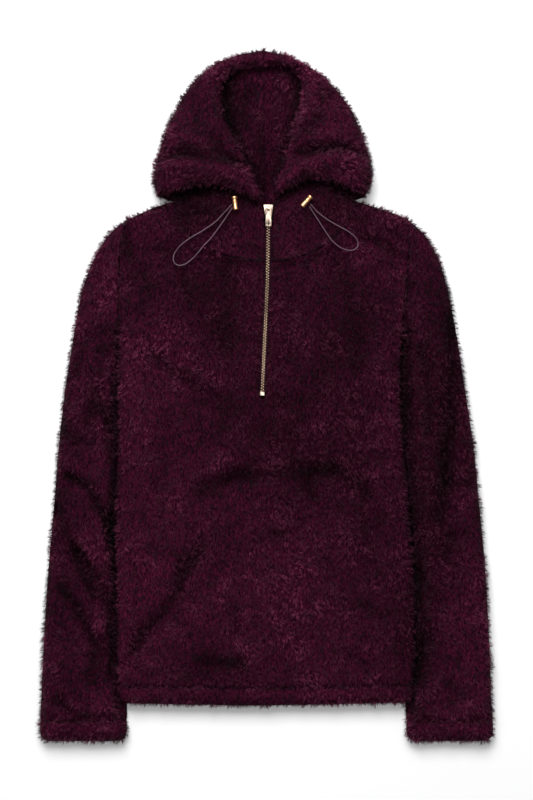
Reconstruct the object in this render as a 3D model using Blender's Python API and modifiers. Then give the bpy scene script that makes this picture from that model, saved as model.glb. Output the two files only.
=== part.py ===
"""A half-zip fleece hoodie laid flat on its back, with its hood up and its sleeves down beside the body.

The origin is on the surface that it lies on, under the middle of its outline. +X is to the right as seen
from above, +Y towards the hood and +Z up. The tables are in millimetres and the objects in metres.
"left" and "right" are as seen from above, so the wearer's right sleeve is sleeve_left.
"""

import math
from collections import namedtuple

import bmesh
import bpy
import numpy as np
from mathutils import Matrix, Vector

MM = 0.001

# Cloth and its layers: the back rests on the surface, the front on the back, the hood's sides on both.
FLEECE = 13.0
LAYER_GAP = 0.3
SEAM_GAP = 0.35
BACK_TOP = FLEECE
FRONT_UNDER = BACK_TOP + LAYER_GAP
FRONT_TOP = 27.5
NECK_TOP = 26.5
HOOD_ON_NECK = NECK_TOP + LAYER_GAP
EDGE_HEIGHT = 3.0
EDGE_ROUND = 14.0
SEAM_ROUND = 6.0
SEAM_DEPTH = 5.0

# Outline landmarks
HEM_Y = -435.5
HEM_LEFT_Y = -432.5
HEM_RIGHT_Y = -431.0
HEM_CORNER_Y = -402.0
UNDERARM_Y = 88.0
NECK_CENTRE_Y = 187.3
NECK_POINT_Y = 273.0
NECK_HALF_WIDTH = 130.0
BACK_NECK_Y = 262.0
HOOD_TOP_Y = 486.0
HOOD_SEAM_X = -4.0

# Zip
ZIP_BOTTOM_Y = -1.0
ZIP_TOP_Y = 268.0
SLIT_HALF = 4.8
SLIT_HALF_AT_SLIDER = 7.8
SLIDER_BOTTOM_Y = 253.0
TAPE_Z = 19.6
TAPE_THICK = 1.4
TAPE_GAP = 0.35
TAPE_FROM_BOTTOM = 3.0
TAPE_STRAIGHT_FROM_Y = 236.0
CHAIN_HALF = 3.2
CHAIN_THICK = 3.0
CHAIN_FROM_BOTTOM = 7.0
CHAIN_BELOW_TOP = 4.0
STOP_SIZE = (6.4, 5.1, 3.6)
STOP_GAP = 0.4
ZIP_STEPS = 15
PULL_AXIS_Z = 30.4

Point = namedtuple("Point", "x y")
Fold = namedtuple("Fold", "path width height")
SleeveRow = namedtuple("SleeveRow", "outer_x outer_y inner_x inner_y height lift bow")
HoodRow = namedtuple("HoodRow", "side_x side_y rim_x rim_y top rim_top")

# The front panel's side edge and armhole, from the hem up to the shoulder point.
LEFT_EDGE = [
    Point(-200.5, -432.5), Point(-206.5, -424.0), Point(-208.5, -405.0), Point(-210.7, -286.0),
    Point(-212.0, -169.0), Point(-208.0, -6.0), Point(-208.0, 88.0), Point(-208.0, 134.0),
    Point(-206.5, 190.0), Point(-203.0, 225.0), Point(-195.5, 249.3),
]
RIGHT_EDGE = [
    Point(197.0, -431.0), Point(203.5, -423.0), Point(206.5, -402.0), Point(208.0, -286.0),
    Point(202.5, -192.0), Point(195.0, -99.0), Point(188.0, -6.0), Point(190.0, 88.0),
    Point(194.0, 134.0), Point(199.5, 188.0), Point(200.5, 225.0), Point(196.5, 250.6),
]
# The back panel is narrower below the arm, where the sleeve lies half under the front's edge.
BACK_LEFT_EDGE = [
    Point(-192.0, -431.0), Point(-195.0, -424.0), Point(-195.3, 30.0), Point(-196.8, 57.0),
    Point(-199.5, 68.0), Point(-203.0, 76.0), Point(-206.0, 82.5), Point(-208.0, 88.0),
]
BACK_RIGHT_EDGE = [
    Point(190.0, -431.0), Point(193.4, -424.0), Point(192.8, -286.0), Point(187.3, -192.0),
    Point(180.3, -99.0), Point(173.3, -6.0), Point(174.3, 30.0), Point(178.0, 57.0),
    Point(181.0, 68.0), Point(184.5, 76.0), Point(187.5, 82.5), Point(190.0, 88.0),
]
LEFT_SHOULDER = [Point(-195.5, 249.3), Point(-171.5, 260.4), Point(-153.0, 268.2), Point(-130.0, 273.0)]
RIGHT_SHOULDER = [Point(196.5, 250.6), Point(175.0, 259.5), Point(153.0, 266.6), Point(122.0, 275.0)]

# Sleeve sections from the armhole to the cuff: each stands on the line from its outer to its inner point.
# lift raises the underside, and bow is the share of the armhole's curve that the section follows.
LEFT_SLEEVE = [
    SleeveRow(-196.3, 249.3, -208.5, 88.0, 27.5, 0.0, 1.0),
    SleeveRow(-222.0, 229.0, -208.8, 86.8, 29.0, 0.0, 0.6),
    SleeveRow(-242.0, 197.0, -208.8, 85.0, 30.0, 0.0, 0.3),
    SleeveRow(-256.5, 162.0, -208.0, 82.0, 31.0, 0.0, 0.1),
    SleeveRow(-266.0, 125.0, -205.6, 76.5, 31.0, 0.0, 0.0),
    SleeveRow(-275.5, 66.0, -199.0, 58.0, 31.0, 0.0, 0.0),
    SleeveRow(-285.0, 8.0, -196.7, 6.0, 31.0, 0.0, 0.0),
    SleeveRow(-293.5, -70.0, -196.6, -74.0, 31.0, 0.0, 0.0),
    SleeveRow(-299.5, -145.0, -196.5, -146.0, 31.0, 0.0, 0.0),
    SleeveRow(-306.5, -222.0, -196.5, -222.0, 31.0, 0.0, 0.0),
    SleeveRow(-311.5, -292.0, -196.5, -292.0, 31.0, 0.0, 0.0),
    SleeveRow(-315.5, -362.0, -196.5, -362.0, 31.0, 0.0, 0.0),
    SleeveRow(-318.5, -428.0, -196.5, -428.0, 30.0, 0.0, 0.0),
]
RIGHT_SLEEVE = [
    SleeveRow(197.3, 250.6, 190.5, 88.0, 27.5, 0.0, 1.0),
    SleeveRow(222.5, 229.0, 190.8, 86.8, 29.0, 0.0, 0.6),
    SleeveRow(241.0, 197.0, 190.8, 85.0, 30.0, 0.0, 0.3),
    SleeveRow(253.0, 162.0, 190.0, 82.0, 31.0, 0.0, 0.1),
    SleeveRow(261.5, 125.0, 187.4, 76.0, 31.0, 0.0, 0.0),
    SleeveRow(272.0, 66.0, 180.6, 58.0, 31.0, 0.0, 0.0),
    SleeveRow(280.7, 8.0, 174.9, 6.0, 31.0, 0.0, 0.0),
    SleeveRow(292.5, -70.0, 179.7, -74.0, 31.0, 0.0, 0.0),
    SleeveRow(299.8, -145.0, 185.0, -146.0, 31.0, 0.0, 0.0),
    SleeveRow(307.5, -222.0, 190.3, -222.0, 31.0, 0.0, 0.0),
    SleeveRow(312.0, -292.0, 194.5, -292.0, 31.0, 0.0, 0.0),
    SleeveRow(315.5, -362.0, 194.7, -362.0, 31.0, 0.0, 0.0),
    SleeveRow(317.5, -428.0, 194.8, -428.0, 30.0, 0.0, 0.0),
]
# The cuff's own rows, the same on both sides: x is measured in from the cuff's outer and inner edges.
CuffRow = namedtuple("CuffRow", "y outer_in inner_in height lift")
CUFF_HALF_REACH = 320.0
CUFF_INNER = 195.5
CUFF = [
    CuffRow(-447.0, 0.6, 0.0, 29.5, 0.0), CuffRow(-453.0, 0.4, 0.0, 29.0, 0.0),
    CuffRow(-457.0, 1.5, 1.0, 29.0, 0.0), CuffRow(-461.0, 0.2, 0.0, 29.0, 0.0),
    CuffRow(-470.0, 0.0, 0.0, 29.0, 0.0), CuffRow(-478.0, 1.2, 1.2, 27.0, 0.5),
    CuffRow(-483.5, 5.0, 5.0, 22.0, 3.0), CuffRow(-486.0, 11.0, 11.0, 16.0, 7.0),
]
CUFF_SEAM_Y = -457.0
# The sleeve's flattened hollow: how far in it ends at either side, its level and its half height.
SLIT_OUTER_END = 13.5
SLIT_INNER_END = 31.0
SLIT_LEVEL = 0.46
SLIT_HALF_HEIGHT = 1.4

# Hood sides: each row runs from the hood's outline in to the rim of the face opening, in the order in which
# they fan out from the crown, down the outside and back along the roll above the neck to the zip.
LEFT_HOOD = [
    HoodRow(-4.2, 486.0, -4.2, 460.0, 34, 27), HoodRow(-38, 480, -28, 459.5, 36, 28),
    HoodRow(-70, 468.5, -48, 454, 38, 29), HoodRow(-99, 446.5, -58, 443, 40, 31),
    HoodRow(-120, 417, -63.5, 430, 41, 33), HoodRow(-137, 384.5, -64.5, 414, 42, 35),
    HoodRow(-149, 353, -63, 401, 43, 36), HoodRow(-157, 323, -60, 391, 45, 37),
    HoodRow(-160, 299, -56.5, 383, 46, 38), HoodRow(-153, 279, -53, 375, 46, 38),
    HoodRow(-133, 284, -48, 366, 46, 38), HoodRow(-107, 292, -42, 355, 46, 38),
    HoodRow(-79, 294, -36, 342, 46, 38), HoodRow(-54, 289, -29, 327.5, 43, 37),
    HoodRow(-31, 281, -19, 308, 39, 36), HoodRow(-13, 273.5, -7.5, 285, 35, 34),
]
RIGHT_HOOD = [
    HoodRow(-3.8, 486.0, -3.8, 460.0, 34, 27), HoodRow(28, 479, 19, 462, 36, 27),
    HoodRow(54, 467, 36, 459.5, 38, 28), HoodRow(82, 448, 45, 450, 40, 29),
    HoodRow(104, 424.5, 48.5, 438, 41, 31), HoodRow(123, 397, 49, 424, 42, 32),
    HoodRow(136, 366, 47, 409, 43, 33), HoodRow(146, 333, 44.5, 399, 45, 34),
    HoodRow(149, 304, 42, 391, 46, 34), HoodRow(139, 279, 39, 383, 46, 34),
    HoodRow(125, 285, 36, 374, 46, 34), HoodRow(104, 295, 32.5, 363, 46, 34),
    HoodRow(80, 302, 28.5, 350, 46, 34), HoodRow(57, 301, 24, 336, 44, 34),
    HoodRow(36, 294, 19.5, 319, 40, 34), HoodRow(17, 281, 13, 296, 36, 34),
]
HOOD_SHARES = (0.0, 0.02, 0.07, 0.15, 0.27, 0.41, 0.56, 0.71, 0.83, 0.92, 0.975, 1.0)
HOOD_OUTLINE_ROWS = 10
ROLL_ROWS_FROM = 12

# The neck's upper edge, hidden under the hood's roll, from the zip outward.
NECK_LEFT_TOP = [Point(-6.0, 271.5), Point(-30, 290), Point(-54, 300), Point(-79, 307), Point(-107, 306), Point(-129.5, 297)]
NECK_RIGHT_TOP = [Point(13.0, 275), Point(34, 302), Point(56, 311), Point(80, 313), Point(104, 306), Point(118, 298)]

FRONT_FOLDS = [
    Fold(((-208, -408.5), (0, -411.0), (206, -407.0)), 3.6, -5.0),
    Fold(((-206, 199), (-160, 203), (-108, 198)), 10.0, -4.0),
    Fold(((122, 214), (160, 206), (199, 190)), 10.0, -4.0),
    Fold(((-206, 82), (-158, 52), (-112, -2)), 11.0, -4.5),
    Fold(((-100, -135), (-50, -114), (10, -105), (90, -118), (160, -104)), 17.0, -4.5),
    Fold(((-47, -228), (-100, -290), (-172, -345)), 15.0, -4.5),
    Fold(((144, -200), (146, -255), (135, -365)), 14.0, -4.0),
    Fold(((-8, -188), (-3, -215), (-9, -270)), 13.0, -2.2),
    Fold(((-60, 60), (-45, 130), (-60, 165)), 16.0, -3.5),
    Fold(((60, 130), (52, 40), (80, -40)), 16.0, -3.5),
    Fold(((-70, -30), (-90, 70)), 26.0, 3.0),
    Fold(((-120, -200), (-140, -120)), 28.0, 3.0),
    Fold(((40, -300), (70, -220)), 30.0, 3.0),
    Fold(((110, -60), (150, 60)), 26.0, 3.0),
]
LEFT_SLEEVE_FOLDS = [
    Fold(((-252, 92), (-230, 60), (-213, 5)), 9.0, -5.0),
    Fold(((-266, -118), (-240, -140), (-216, -178)), 8.0, -6.0),
    Fold(((-303, -205), (-282, -262), (-262, -296)), 8.0, -6.0),
    Fold(((-278, -222), (-245, -270), (-218, -310)), 8.0, -5.5),
    Fold(((-286, -325), (-262, -375)), 8.0, -5.0),
    Fold(((-236, -350), (-222, -400)), 10.0, -4.0),
    Fold(((-290, -30), (-262, -70)), 10.0, -4.0),
    Fold(((-285, -425), (-245, -420)), 9.0, -3.5),
    Fold(((-320, CUFF_SEAM_Y), (-195, CUFF_SEAM_Y)), 3.4, -6.0),
]
RIGHT_SLEEVE_FOLDS = [
    Fold(((212, 60), (216, -60), (222, -200), (226, -330), (222, -400)), 8.0, -6.0),
    Fold(((236, 20), (238, -120), (240, -260)), 7.0, 2.5),
    Fold(((246, -112), (270, -118), (294, -108)), 8.0, -5.0),
    Fold(((250, -160), (258, -212)), 9.0, -4.0),
    Fold(((262, -428), (300, -402)), 7.0, -4.5),
    Fold(((262, 60), (240, 110)), 10.0, -4.0),
    Fold(((195, CUFF_SEAM_Y), (320, CUFF_SEAM_Y)), 3.4, -6.0),
]
LEFT_HOOD_FOLDS = [
    Fold(((-158, 316), (-128, 321), (-95, 323), (-62, 317), (-34, 300)), 11.0, 4.0),
    Fold(((-150, 340), (-122, 344), (-92, 345), (-60, 340), (-38, 326)), 8.0, -6.0),
    Fold(((-118, 398), (-96, 360)), 12.0, -3.0),
    Fold(((-84, 420), (-78, 372)), 14.0, 2.5),
]
RIGHT_HOOD_FOLDS = [
    Fold(((146, 318), (110, 328), (74, 326), (42, 312), (22, 290)), 11.0, 4.0),
    Fold(((140, 346), (104, 350), (66, 345), (42, 330)), 8.0, -6.0),
    Fold(((96, 412), (84, 372)), 12.0, -3.0),
    Fold(((62, 420), (56, 366)), 12.0, 2.5),
]

# Drawcord: each loop leaves its toggle, lies on the chest and comes back.
CORD_DIAMETER = 1.6
CORD_CLEARANCE = 0.3
LEFT_LOOP = [
    Point(-48.6, 267.0), Point(-58.5, 257.0), Point(-71.5, 243.5), Point(-89.5, 231.0), Point(-107.2, 220.5),
    Point(-120.7, 210.0), Point(-128.5, 199.6), Point(-130.3, 190.6), Point(-127.0, 184.4),
    Point(-120.0, 182.6), Point(-110.6, 186.3), Point(-98.3, 197.4), Point(-87.2, 210.8),
    Point(-77.1, 221.5), Point(-67.1, 235.0), Point(-56.5, 250.0), Point(-47.6, 263.2),
]
RIGHT_LOOP = [
    Point(61.6, 268.0), Point(71.4, 257.2), Point(84.7, 247.0), Point(100.4, 237.8), Point(116.1, 228.8),
    Point(126.0, 219.6), Point(128.0, 210.8), Point(123.0, 204.8), Point(113.8, 203.7),
    Point(102.6, 208.0), Point(91.4, 217.6), Point(81.3, 232.0), Point(70.6, 248.4), Point(60.0, 264.6),
]
CORD_POINTS = 48
Toggle = namedtuple("Toggle", "x y turn")
LEFT_TOGGLE = Toggle(-43.9, 269.5, math.radians(7.0))
RIGHT_TOGGLE = Toggle(55.9, 272.0, math.radians(-41.0))
TOGGLE_LENGTH = 19.0
TOGGLE_PROFILE = ((0.0, 0.0), (2.6, 0.0), (3.7, 0.9), (3.7, 3.6), (2.7, 4.4), (2.7, 5.2), (3.3, 6.0),
                  (3.3, 16.6), (3.7, 17.2), (3.7, 18.4), (2.8, 19.0), (0.0, 19.0))

COLOURS = {
    "fleece": ((0.052, 0.008, 0.028), 0.95, 0.0),
    "zip_brass": ((0.80, 0.56, 0.32), 0.32, 1.0),
    "toggle_copper": ((0.62, 0.29, 0.12), 0.30, 1.0),
    "zip_tape": ((0.045, 0.010, 0.026), 0.85, 0.0),
    "cord_elastic": ((0.13, 0.05, 0.09), 0.60, 0.0),
}


# Curves and surfaces

def smooth_line(points, count):
    """count points, evenly spaced along a smooth curve through the given ones."""
    p = np.array(points, float)
    step = np.linalg.norm(np.diff(p, axis=0), axis=1)
    at = np.concatenate([[0.0], np.cumsum(step)])
    span = np.concatenate([step[:1], step[:-1] + step[1:], step[-1:]])[:, None]
    slope = np.vstack([p[1] - p[0], p[2:] - p[:-2], p[-1] - p[-2]]) / span
    fine = []
    for i, length in enumerate(step):
        t = np.linspace(0.0, 1.0, 16, endpoint=False)[:, None]
        fine.append(
            (2 * t**3 - 3 * t**2 + 1) * p[i] + (t**3 - 2 * t**2 + t) * length * slope[i]
            + (3 * t**2 - 2 * t**3) * p[i + 1] + (t**3 - t**2) * length * slope[i + 1]
        )
    fine = np.vstack([*fine, p[-1:]])
    run = np.concatenate([[0.0], np.cumsum(np.linalg.norm(np.diff(fine, axis=0), axis=1))])
    wanted = np.linspace(0.0, run[-1], count)
    return np.column_stack([np.interp(wanted, run, fine[:, c]) for c in range(p.shape[1])])


def at_height(line, y):
    """The x of a rising line of points where it passes y."""
    return float(np.interp(y, line[:, 1], line[:, 0]))


def along(line, share):
    """The point at this share of a line's length."""
    run = np.concatenate([[0.0], np.cumsum(np.linalg.norm(np.diff(line, axis=0), axis=1))])
    return np.array([np.interp(share * run[-1], run, line[:, c]) for c in range(2)])


def rounded(distance, radius):
    """A quarter circle's height, from 0 at an edge to 1 at radius and beyond."""
    inside = min(max(distance / radius, 0.0), 1.0)
    return math.sqrt(max(0.0, 1.0 - (1.0 - inside) ** 2))


def eased(value, low, high):
    """0 below low, 1 above high and smooth between."""
    t = min(max((value - low) / (high - low), 0.0), 1.0)
    return t * t * (3.0 - 2.0 * t)


def distance_to_path(x, y, path):
    best = 1e9
    for (x0, y0), (x1, y1) in zip(path, path[1:]):
        dx, dy = x1 - x0, y1 - y0
        t = min(max(((x - x0) * dx + (y - y0) * dy) / (dx * dx + dy * dy), 0.0), 1.0)
        best = min(best, math.hypot(x - x0 - t * dx, y - y0 - t * dy))
    return best


def folds_at(x, y, folds):
    """How far the folds raise or lower the cloth at a point."""
    return sum(f.height * math.exp(-((distance_to_path(x, y, f.path) / f.width) ** 2)) for f in folds)


LEFT_EDGE_LINE = smooth_line(LEFT_EDGE, 160)
RIGHT_EDGE_LINE = smooth_line(RIGHT_EDGE, 160)
LEFT_ARMHOLE = LEFT_EDGE_LINE[LEFT_EDGE_LINE[:, 1] >= UNDERARM_Y]
RIGHT_ARMHOLE = RIGHT_EDGE_LINE[RIGHT_EDGE_LINE[:, 1] >= UNDERARM_Y]
ZIP_LINE = smooth_line(
    [Point(-6.2, -20), Point(-5.9, 3), Point(-4.2, 43), Point(-1.4, 99), Point(1.4, 162), Point(2.5, 235), Point(2.8, 280)], 60
)


def zip_x(y):
    return at_height(ZIP_LINE, y)


def slit_half(y):
    """Half the width of the slit that the zip lies in: wider where the slider sits, and closed below the zip."""
    wide = eased(y, SLIDER_BOTTOM_Y - 14.0, SLIDER_BOTTOM_Y - 3.0)
    return (SLIT_HALF + (SLIT_HALF_AT_SLIDER - SLIT_HALF) * wide) * eased(y, ZIP_BOTTOM_Y - 3.5, ZIP_BOTTOM_Y + 2.0)


NECK_TURNS = (0.0, 0.13, 0.26, 0.38, 0.50, 0.61, 0.71, 0.80, 0.88, 0.945, 1.0)


def neckline(side, turn):
    """A point of the front neckline: turn is 0 at the zip and 1 at the neck point. side is -1 or 1."""
    half = NECK_HALF_WIDTH if side < 0 else RIGHT_SHOULDER[-1].x
    rise = NECK_POINT_Y - NECK_CENTRE_Y if side < 0 else RIGHT_SHOULDER[-1].y - NECK_CENTRE_Y
    angle = turn * math.pi / 2
    return np.array([side * half * math.sin(angle), NECK_CENTRE_Y + rise * (1.0 - math.cos(angle))])


# Scene and mesh helpers

def clear_scene():
    for obj in list(bpy.data.objects):
        bpy.data.objects.remove(obj)


def make_materials():
    made = {}
    for name, (colour, roughness, metallic) in COLOURS.items():
        material = bpy.data.materials.new(name)
        material.use_nodes = True
        shader = material.node_tree.nodes["Principled BSDF"]
        shader.inputs["Base Color"].default_value = (*colour, 1.0)
        shader.inputs["Roughness"].default_value = roughness
        shader.inputs["Metallic"].default_value = metallic
        made[name] = material
    return made


def add_object(name, data, material, parent=None):
    obj = bpy.data.objects.new(name, data)
    obj.data.materials.append(MATERIALS[material])
    HOODIE.objects.link(obj)
    obj.parent = parent
    return obj


def object_from(bm, name, material):
    """Closes a bmesh into an object, with its quads and flats cut into triangles and its faces pointing out."""
    bmesh.ops.triangulate(bm, faces=bm.faces[:], ngon_method="BEAUTY")
    bmesh.ops.recalc_face_normals(bm, faces=bm.faces[:])
    mesh = bpy.data.meshes.new(name)
    bm.to_mesh(mesh)
    bm.free()
    mesh.shade_smooth()
    mesh.set_sharp_from_angle(angle=math.radians(50))
    return add_object(name, mesh, material)


def rim_of(faces):
    """The loop of keys round a sheet of faces, in the faces' own direction."""
    edges = {(a, b) for face in faces for a, b in zip(face, face[1:] + face[:1])}
    after = {a: b for a, b in edges if (b, a) not in edges}
    loop = [next(iter(sorted(after, key=str)))]
    while after[loop[-1]] != loop[0]:
        loop.append(after[loop[-1]])
    return loop


def wall(name, points, faces, under, material="fleece"):
    """A closed wall from a sheet of outer points and faces. under is the height of a flat underside, or the inner
    point for each key."""
    bm = bmesh.new()
    top = {key: bm.verts.new(Vector(p) * MM) for key, p in points.items()}
    for face in faces:
        bm.faces.new([top[key] for key in face])
    rim = rim_of(faces)
    if isinstance(under, dict):
        low = {key: bm.verts.new(Vector(p) * MM) for key, p in under.items()}
        for face in faces:
            bm.faces.new([low[key] for key in reversed(face)])
    else:
        low = {key: bm.verts.new(Vector((points[key][0], points[key][1], under)) * MM) for key in rim}
        bm.faces.new([low[key] for key in reversed(rim)])
    for a, b in zip(rim, rim[1:] + rim[:1]):
        bm.faces.new([top[b], top[a], low[a], low[b]])
    return object_from(bm, name, material)


def slab(name, outline, free, bottom, top, material="fleece"):
    """A flat piece of cloth from its outline. Its lower edge is rounded where free says that nothing is sewn to it."""
    p = np.array(outline, float)
    tangent = np.roll(p, -1, axis=0) - np.roll(p, 1, axis=0)
    tangent /= np.linalg.norm(tangent, axis=1)[:, None]
    area = 0.5 * float(np.sum(p[:, 0] * np.roll(p[:, 1], -1) - np.roll(p[:, 0], -1) * p[:, 1]))
    inward = np.column_stack([-tangent[:, 1], tangent[:, 0]]) * (1.0 if area > 0 else -1.0)
    loose = np.array(free, float)[:, None]
    rings = [(p + inward * loose * inset, height) for inset, height in
             ((7.0, bottom), (2.0, bottom + 2.5), (0.0, bottom + 6.5), (0.0, top))]
    bm = bmesh.new()
    verts = [[bm.verts.new(Vector((x, y, height)) * MM) for x, y in ring] for ring, height in rings]
    for lower, upper in zip(verts, verts[1:]):
        for i in range(len(p)):
            j = (i + 1) % len(p)
            bm.faces.new([lower[i], lower[j], upper[j], upper[i]])
    bm.faces.new(list(reversed(verts[0])))
    bm.faces.new(verts[-1])
    return object_from(bm, name, material)


# Body

FRONT_INNER_COLUMNS = 8
FAR = 999.0
FrontRow = namedtuple("FrontRow", "left left_in right_in right to_hem to_top parted")
HEM_STEPS = (0.0, 2.5, 7.0, 13.0, 20.0, 24.8, 29.6, 36.0, *np.linspace(60.0, ZIP_BOTTOM_Y - 4.0 - HEM_Y, 17))
ZIP_ROWS = (ZIP_BOTTOM_Y + 2.5, 22.0, 44.0, 66.0, UNDERARM_Y)
# Above the underarm a row runs from this share of the armhole to this y on the zip.
ArmholeRow = namedtuple("ArmholeRow", "share zip_y")
ARMHOLE_ROWS = (ArmholeRow(0.13, 110.0), ArmholeRow(0.26, 132.0), ArmholeRow(0.40, 153.0), ArmholeRow(0.53, 172.0))
# And from these shares to the neckline's turns, with the distance to the shoulder's edge.
NECK_ROW_SHARES = (0.63, 0.68, 0.73, 0.78, 0.82, 0.86, 0.90, 0.935, 0.962, 0.985, 1.0)
ARMHOLE_LENGTH = 165.0


def edges_at(left_y, right_y):
    return (np.array([at_height(LEFT_EDGE_LINE, left_y), left_y]),
            np.array([at_height(RIGHT_EDGE_LINE, right_y), right_y]))


def zip_edges(y):
    return [np.array([zip_x(y) + side * slit_half(y), y]) for side in (-1, 1)]


def neck_edges(turn):
    """The neckline's points on either side, kept clear of the slit where the zip passes."""
    shut = zip_x(NECK_CENTRE_Y)
    ends = []
    for side in (-1, 1):
        x, y = neckline(side, turn)
        ends.append(np.array([side * max(side * x, side * shut + slit_half(NECK_CENTRE_Y)), y]))
    return ends


def front_rows():
    """The rows of the front panel from the hem up: its side edges, its inner ends, and how far it is from the hem
    and the shoulder."""
    rows = []
    for step in HEM_STEPS:
        top = HEM_Y + HEM_STEPS[-1]
        share = step / HEM_STEPS[-1]
        left, right = edges_at(HEM_LEFT_Y + share * (top - HEM_LEFT_Y), HEM_RIGHT_Y + share * (top - HEM_RIGHT_Y))
        middle = np.array([zip_x(HEM_Y + step), HEM_Y + step])
        rows.append(FrontRow(left, middle, middle, right, step, FAR, False))
    for y in ZIP_ROWS:
        left, right = edges_at(y, y)
        rows.append(FrontRow(left, *zip_edges(y), right, FAR, FAR, True))
    for row in ARMHOLE_ROWS:
        rows.append(FrontRow(along(LEFT_ARMHOLE, row.share), *zip_edges(row.zip_y), along(RIGHT_ARMHOLE, row.share),
                             FAR, FAR, True))
    for share, turn in zip(NECK_ROW_SHARES, NECK_TURNS):
        rows.append(FrontRow(along(LEFT_ARMHOLE, share), *neck_edges(turn), along(RIGHT_ARMHOLE, share),
                             FAR, ARMHOLE_LENGTH * (1.0 - share), True))
    return rows


def half_row(edge, inner):
    """Points from a side edge in to the middle, with each one's distance from either end."""
    length = float(np.linalg.norm(inner - edge))
    first, last = (0.0, 2.5, 7.0, EDGE_ROUND), (length - 7.5, length - 2.5, length)
    between = np.linspace(EDGE_ROUND, length - 7.5, FRONT_INNER_COLUMNS + 2)[1:-1]
    return [(edge + (inner - edge) * d / length, d, length - d) for d in (*first, *between, *last)]


def front_height(x, y, to_edge, to_inner, row):
    """The top of the front panel: rounded down at the side, hem and shoulder, and drawn in at its seams."""
    armhole = eased(y, UNDERARM_Y - 14.0, UNDERARM_Y + 16.0)
    side = rounded(to_edge, EDGE_ROUND) * (1.0 - armhole) + armhole
    full = side * rounded(row.to_hem + 1.0, EDGE_ROUND) * rounded(row.to_top + 0.4, EDGE_ROUND)
    drawn = armhole * SEAM_DEPTH * (1.0 - rounded(to_edge, SEAM_ROUND))
    if row.parted:
        drawn += SEAM_DEPTH * (1.0 - rounded(to_inner, SEAM_ROUND))
    low = FRONT_UNDER + EDGE_HEIGHT
    lift = (FRONT_TOP - low) * full + folds_at(x, y, FRONT_FOLDS) * full - drawn * full
    return low + max(0.0, lift)


def make_front():
    points, faces = {}, []
    rows = front_rows()
    for r, row in enumerate(rows):
        for side, edge, inner in (("L", row.left, row.left_in), ("R", row.right, row.right_in)):
            line = half_row(edge, inner)
            for c, ((x, y), to_edge, to_inner) in enumerate(line):
                key = ("M", r, 0) if c == len(line) - 1 and not row.parted else (side, r, c)
                points[key] = (x, y, front_height(x, y, to_edge, to_inner, row))
    last = FRONT_INNER_COLUMNS + 6
    for r in range(len(rows) - 1):
        for side in "LR":
            for c in range(last):
                corners = [(side, r, c), (side, r, c + 1), (side, r + 1, c + 1), (side, r + 1, c)]
                face = [k if k in points else ("M", k[1], 0) for k in corners]
                faces.append(face if side == "L" else face[::-1])
    return wall("front_panel", points, faces, FRONT_UNDER)


def back_neckline(count):
    """The back neck seam, from the left neck point to the right one."""
    return smooth_line(
        [LEFT_SHOULDER[-1], Point(-70, 264.5), Point(0, BACK_NECK_Y), Point(66, 265.5), RIGHT_SHOULDER[-1]], count
    )


def make_back():
    left = smooth_line(BACK_LEFT_EDGE, 18)
    right = smooth_line(BACK_RIGHT_EDGE, 18)
    armholes = [smooth_line(line[::8], 9)[1:] for line in (LEFT_ARMHOLE, RIGHT_ARMHOLE)]
    armholes[0][-1], armholes[1][-1] = LEFT_SHOULDER[0], RIGHT_SHOULDER[0]
    shoulders = [smooth_line(s, 6)[1:] for s in (LEFT_SHOULDER, RIGHT_SHOULDER)]
    runs = [
        (left[::-1], 1), (np.array([[-100.0, -433.5], [0.0, -434.5], [100.0, -433.0]]), 1), (right, 0),
        (armholes[1], 0), (shoulders[1], 1), (back_neckline(13)[::-1][1:-1], 0), (shoulders[0][::-1], 1),
        (armholes[0][::-1], 0),
    ]
    outline = np.vstack([line for line, _ in runs])
    free = np.concatenate([np.full(len(line), flag) for line, flag in runs])
    return slab("back_panel", outline, free, 0.0, BACK_TOP)


# Sleeves

SLEEVE_EDGE_Z = 10.0
INNER_EVERY = 4


def sleeve_sections(side):
    """The sleeve's sections, two to each row of its table, then the cuff's own."""
    table = LEFT_SLEEVE if side < 0 else RIGHT_SLEEVE
    rows = np.array(table, float)
    fine = []
    slope = np.gradient(rows, axis=0)
    for i in range(len(rows) - 1):
        for t in (0.0, 0.5):
            fine.append(
                (2 * t**3 - 3 * t**2 + 1) * rows[i] + (t**3 - 2 * t**2 + t) * slope[i]
                + (3 * t**2 - 2 * t**3) * rows[i + 1] + (t**3 - t**2) * slope[i + 1]
            )
    sections = [SleeveRow(*row) for row in (*fine, rows[-1])]
    for cuff in CUFF:
        sections.append(SleeveRow(
            side * (CUFF_HALF_REACH - cuff.outer_in), cuff.y, side * (CUFF_INNER + cuff.inner_in), cuff.y,
            cuff.height, cuff.lift, 0.0,
        ))
    return sections


FRONT_CLEARANCE = 1.2
TUCKED_AT_LEAST = 2.0


def outside_front(x, y, side):
    """How far a point is outside the front panel's side edge, or far outside it past the hem and the underarm."""
    edge = at_height(LEFT_EDGE_LINE if side < 0 else RIGHT_EDGE_LINE, max(y, HEM_CORNER_Y))
    past = max(0.0, y - UNDERARM_Y, HEM_Y - 14.0 - y)
    return side * (x - edge) + past


def room_under_front(x, y, side):
    """How high the sleeve may be where the front panel's edge lies over it."""
    return BACK_TOP - 0.4 + 2.4 * max(0.0, outside_front(x, y, side) - FRONT_CLEARANCE)


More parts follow.
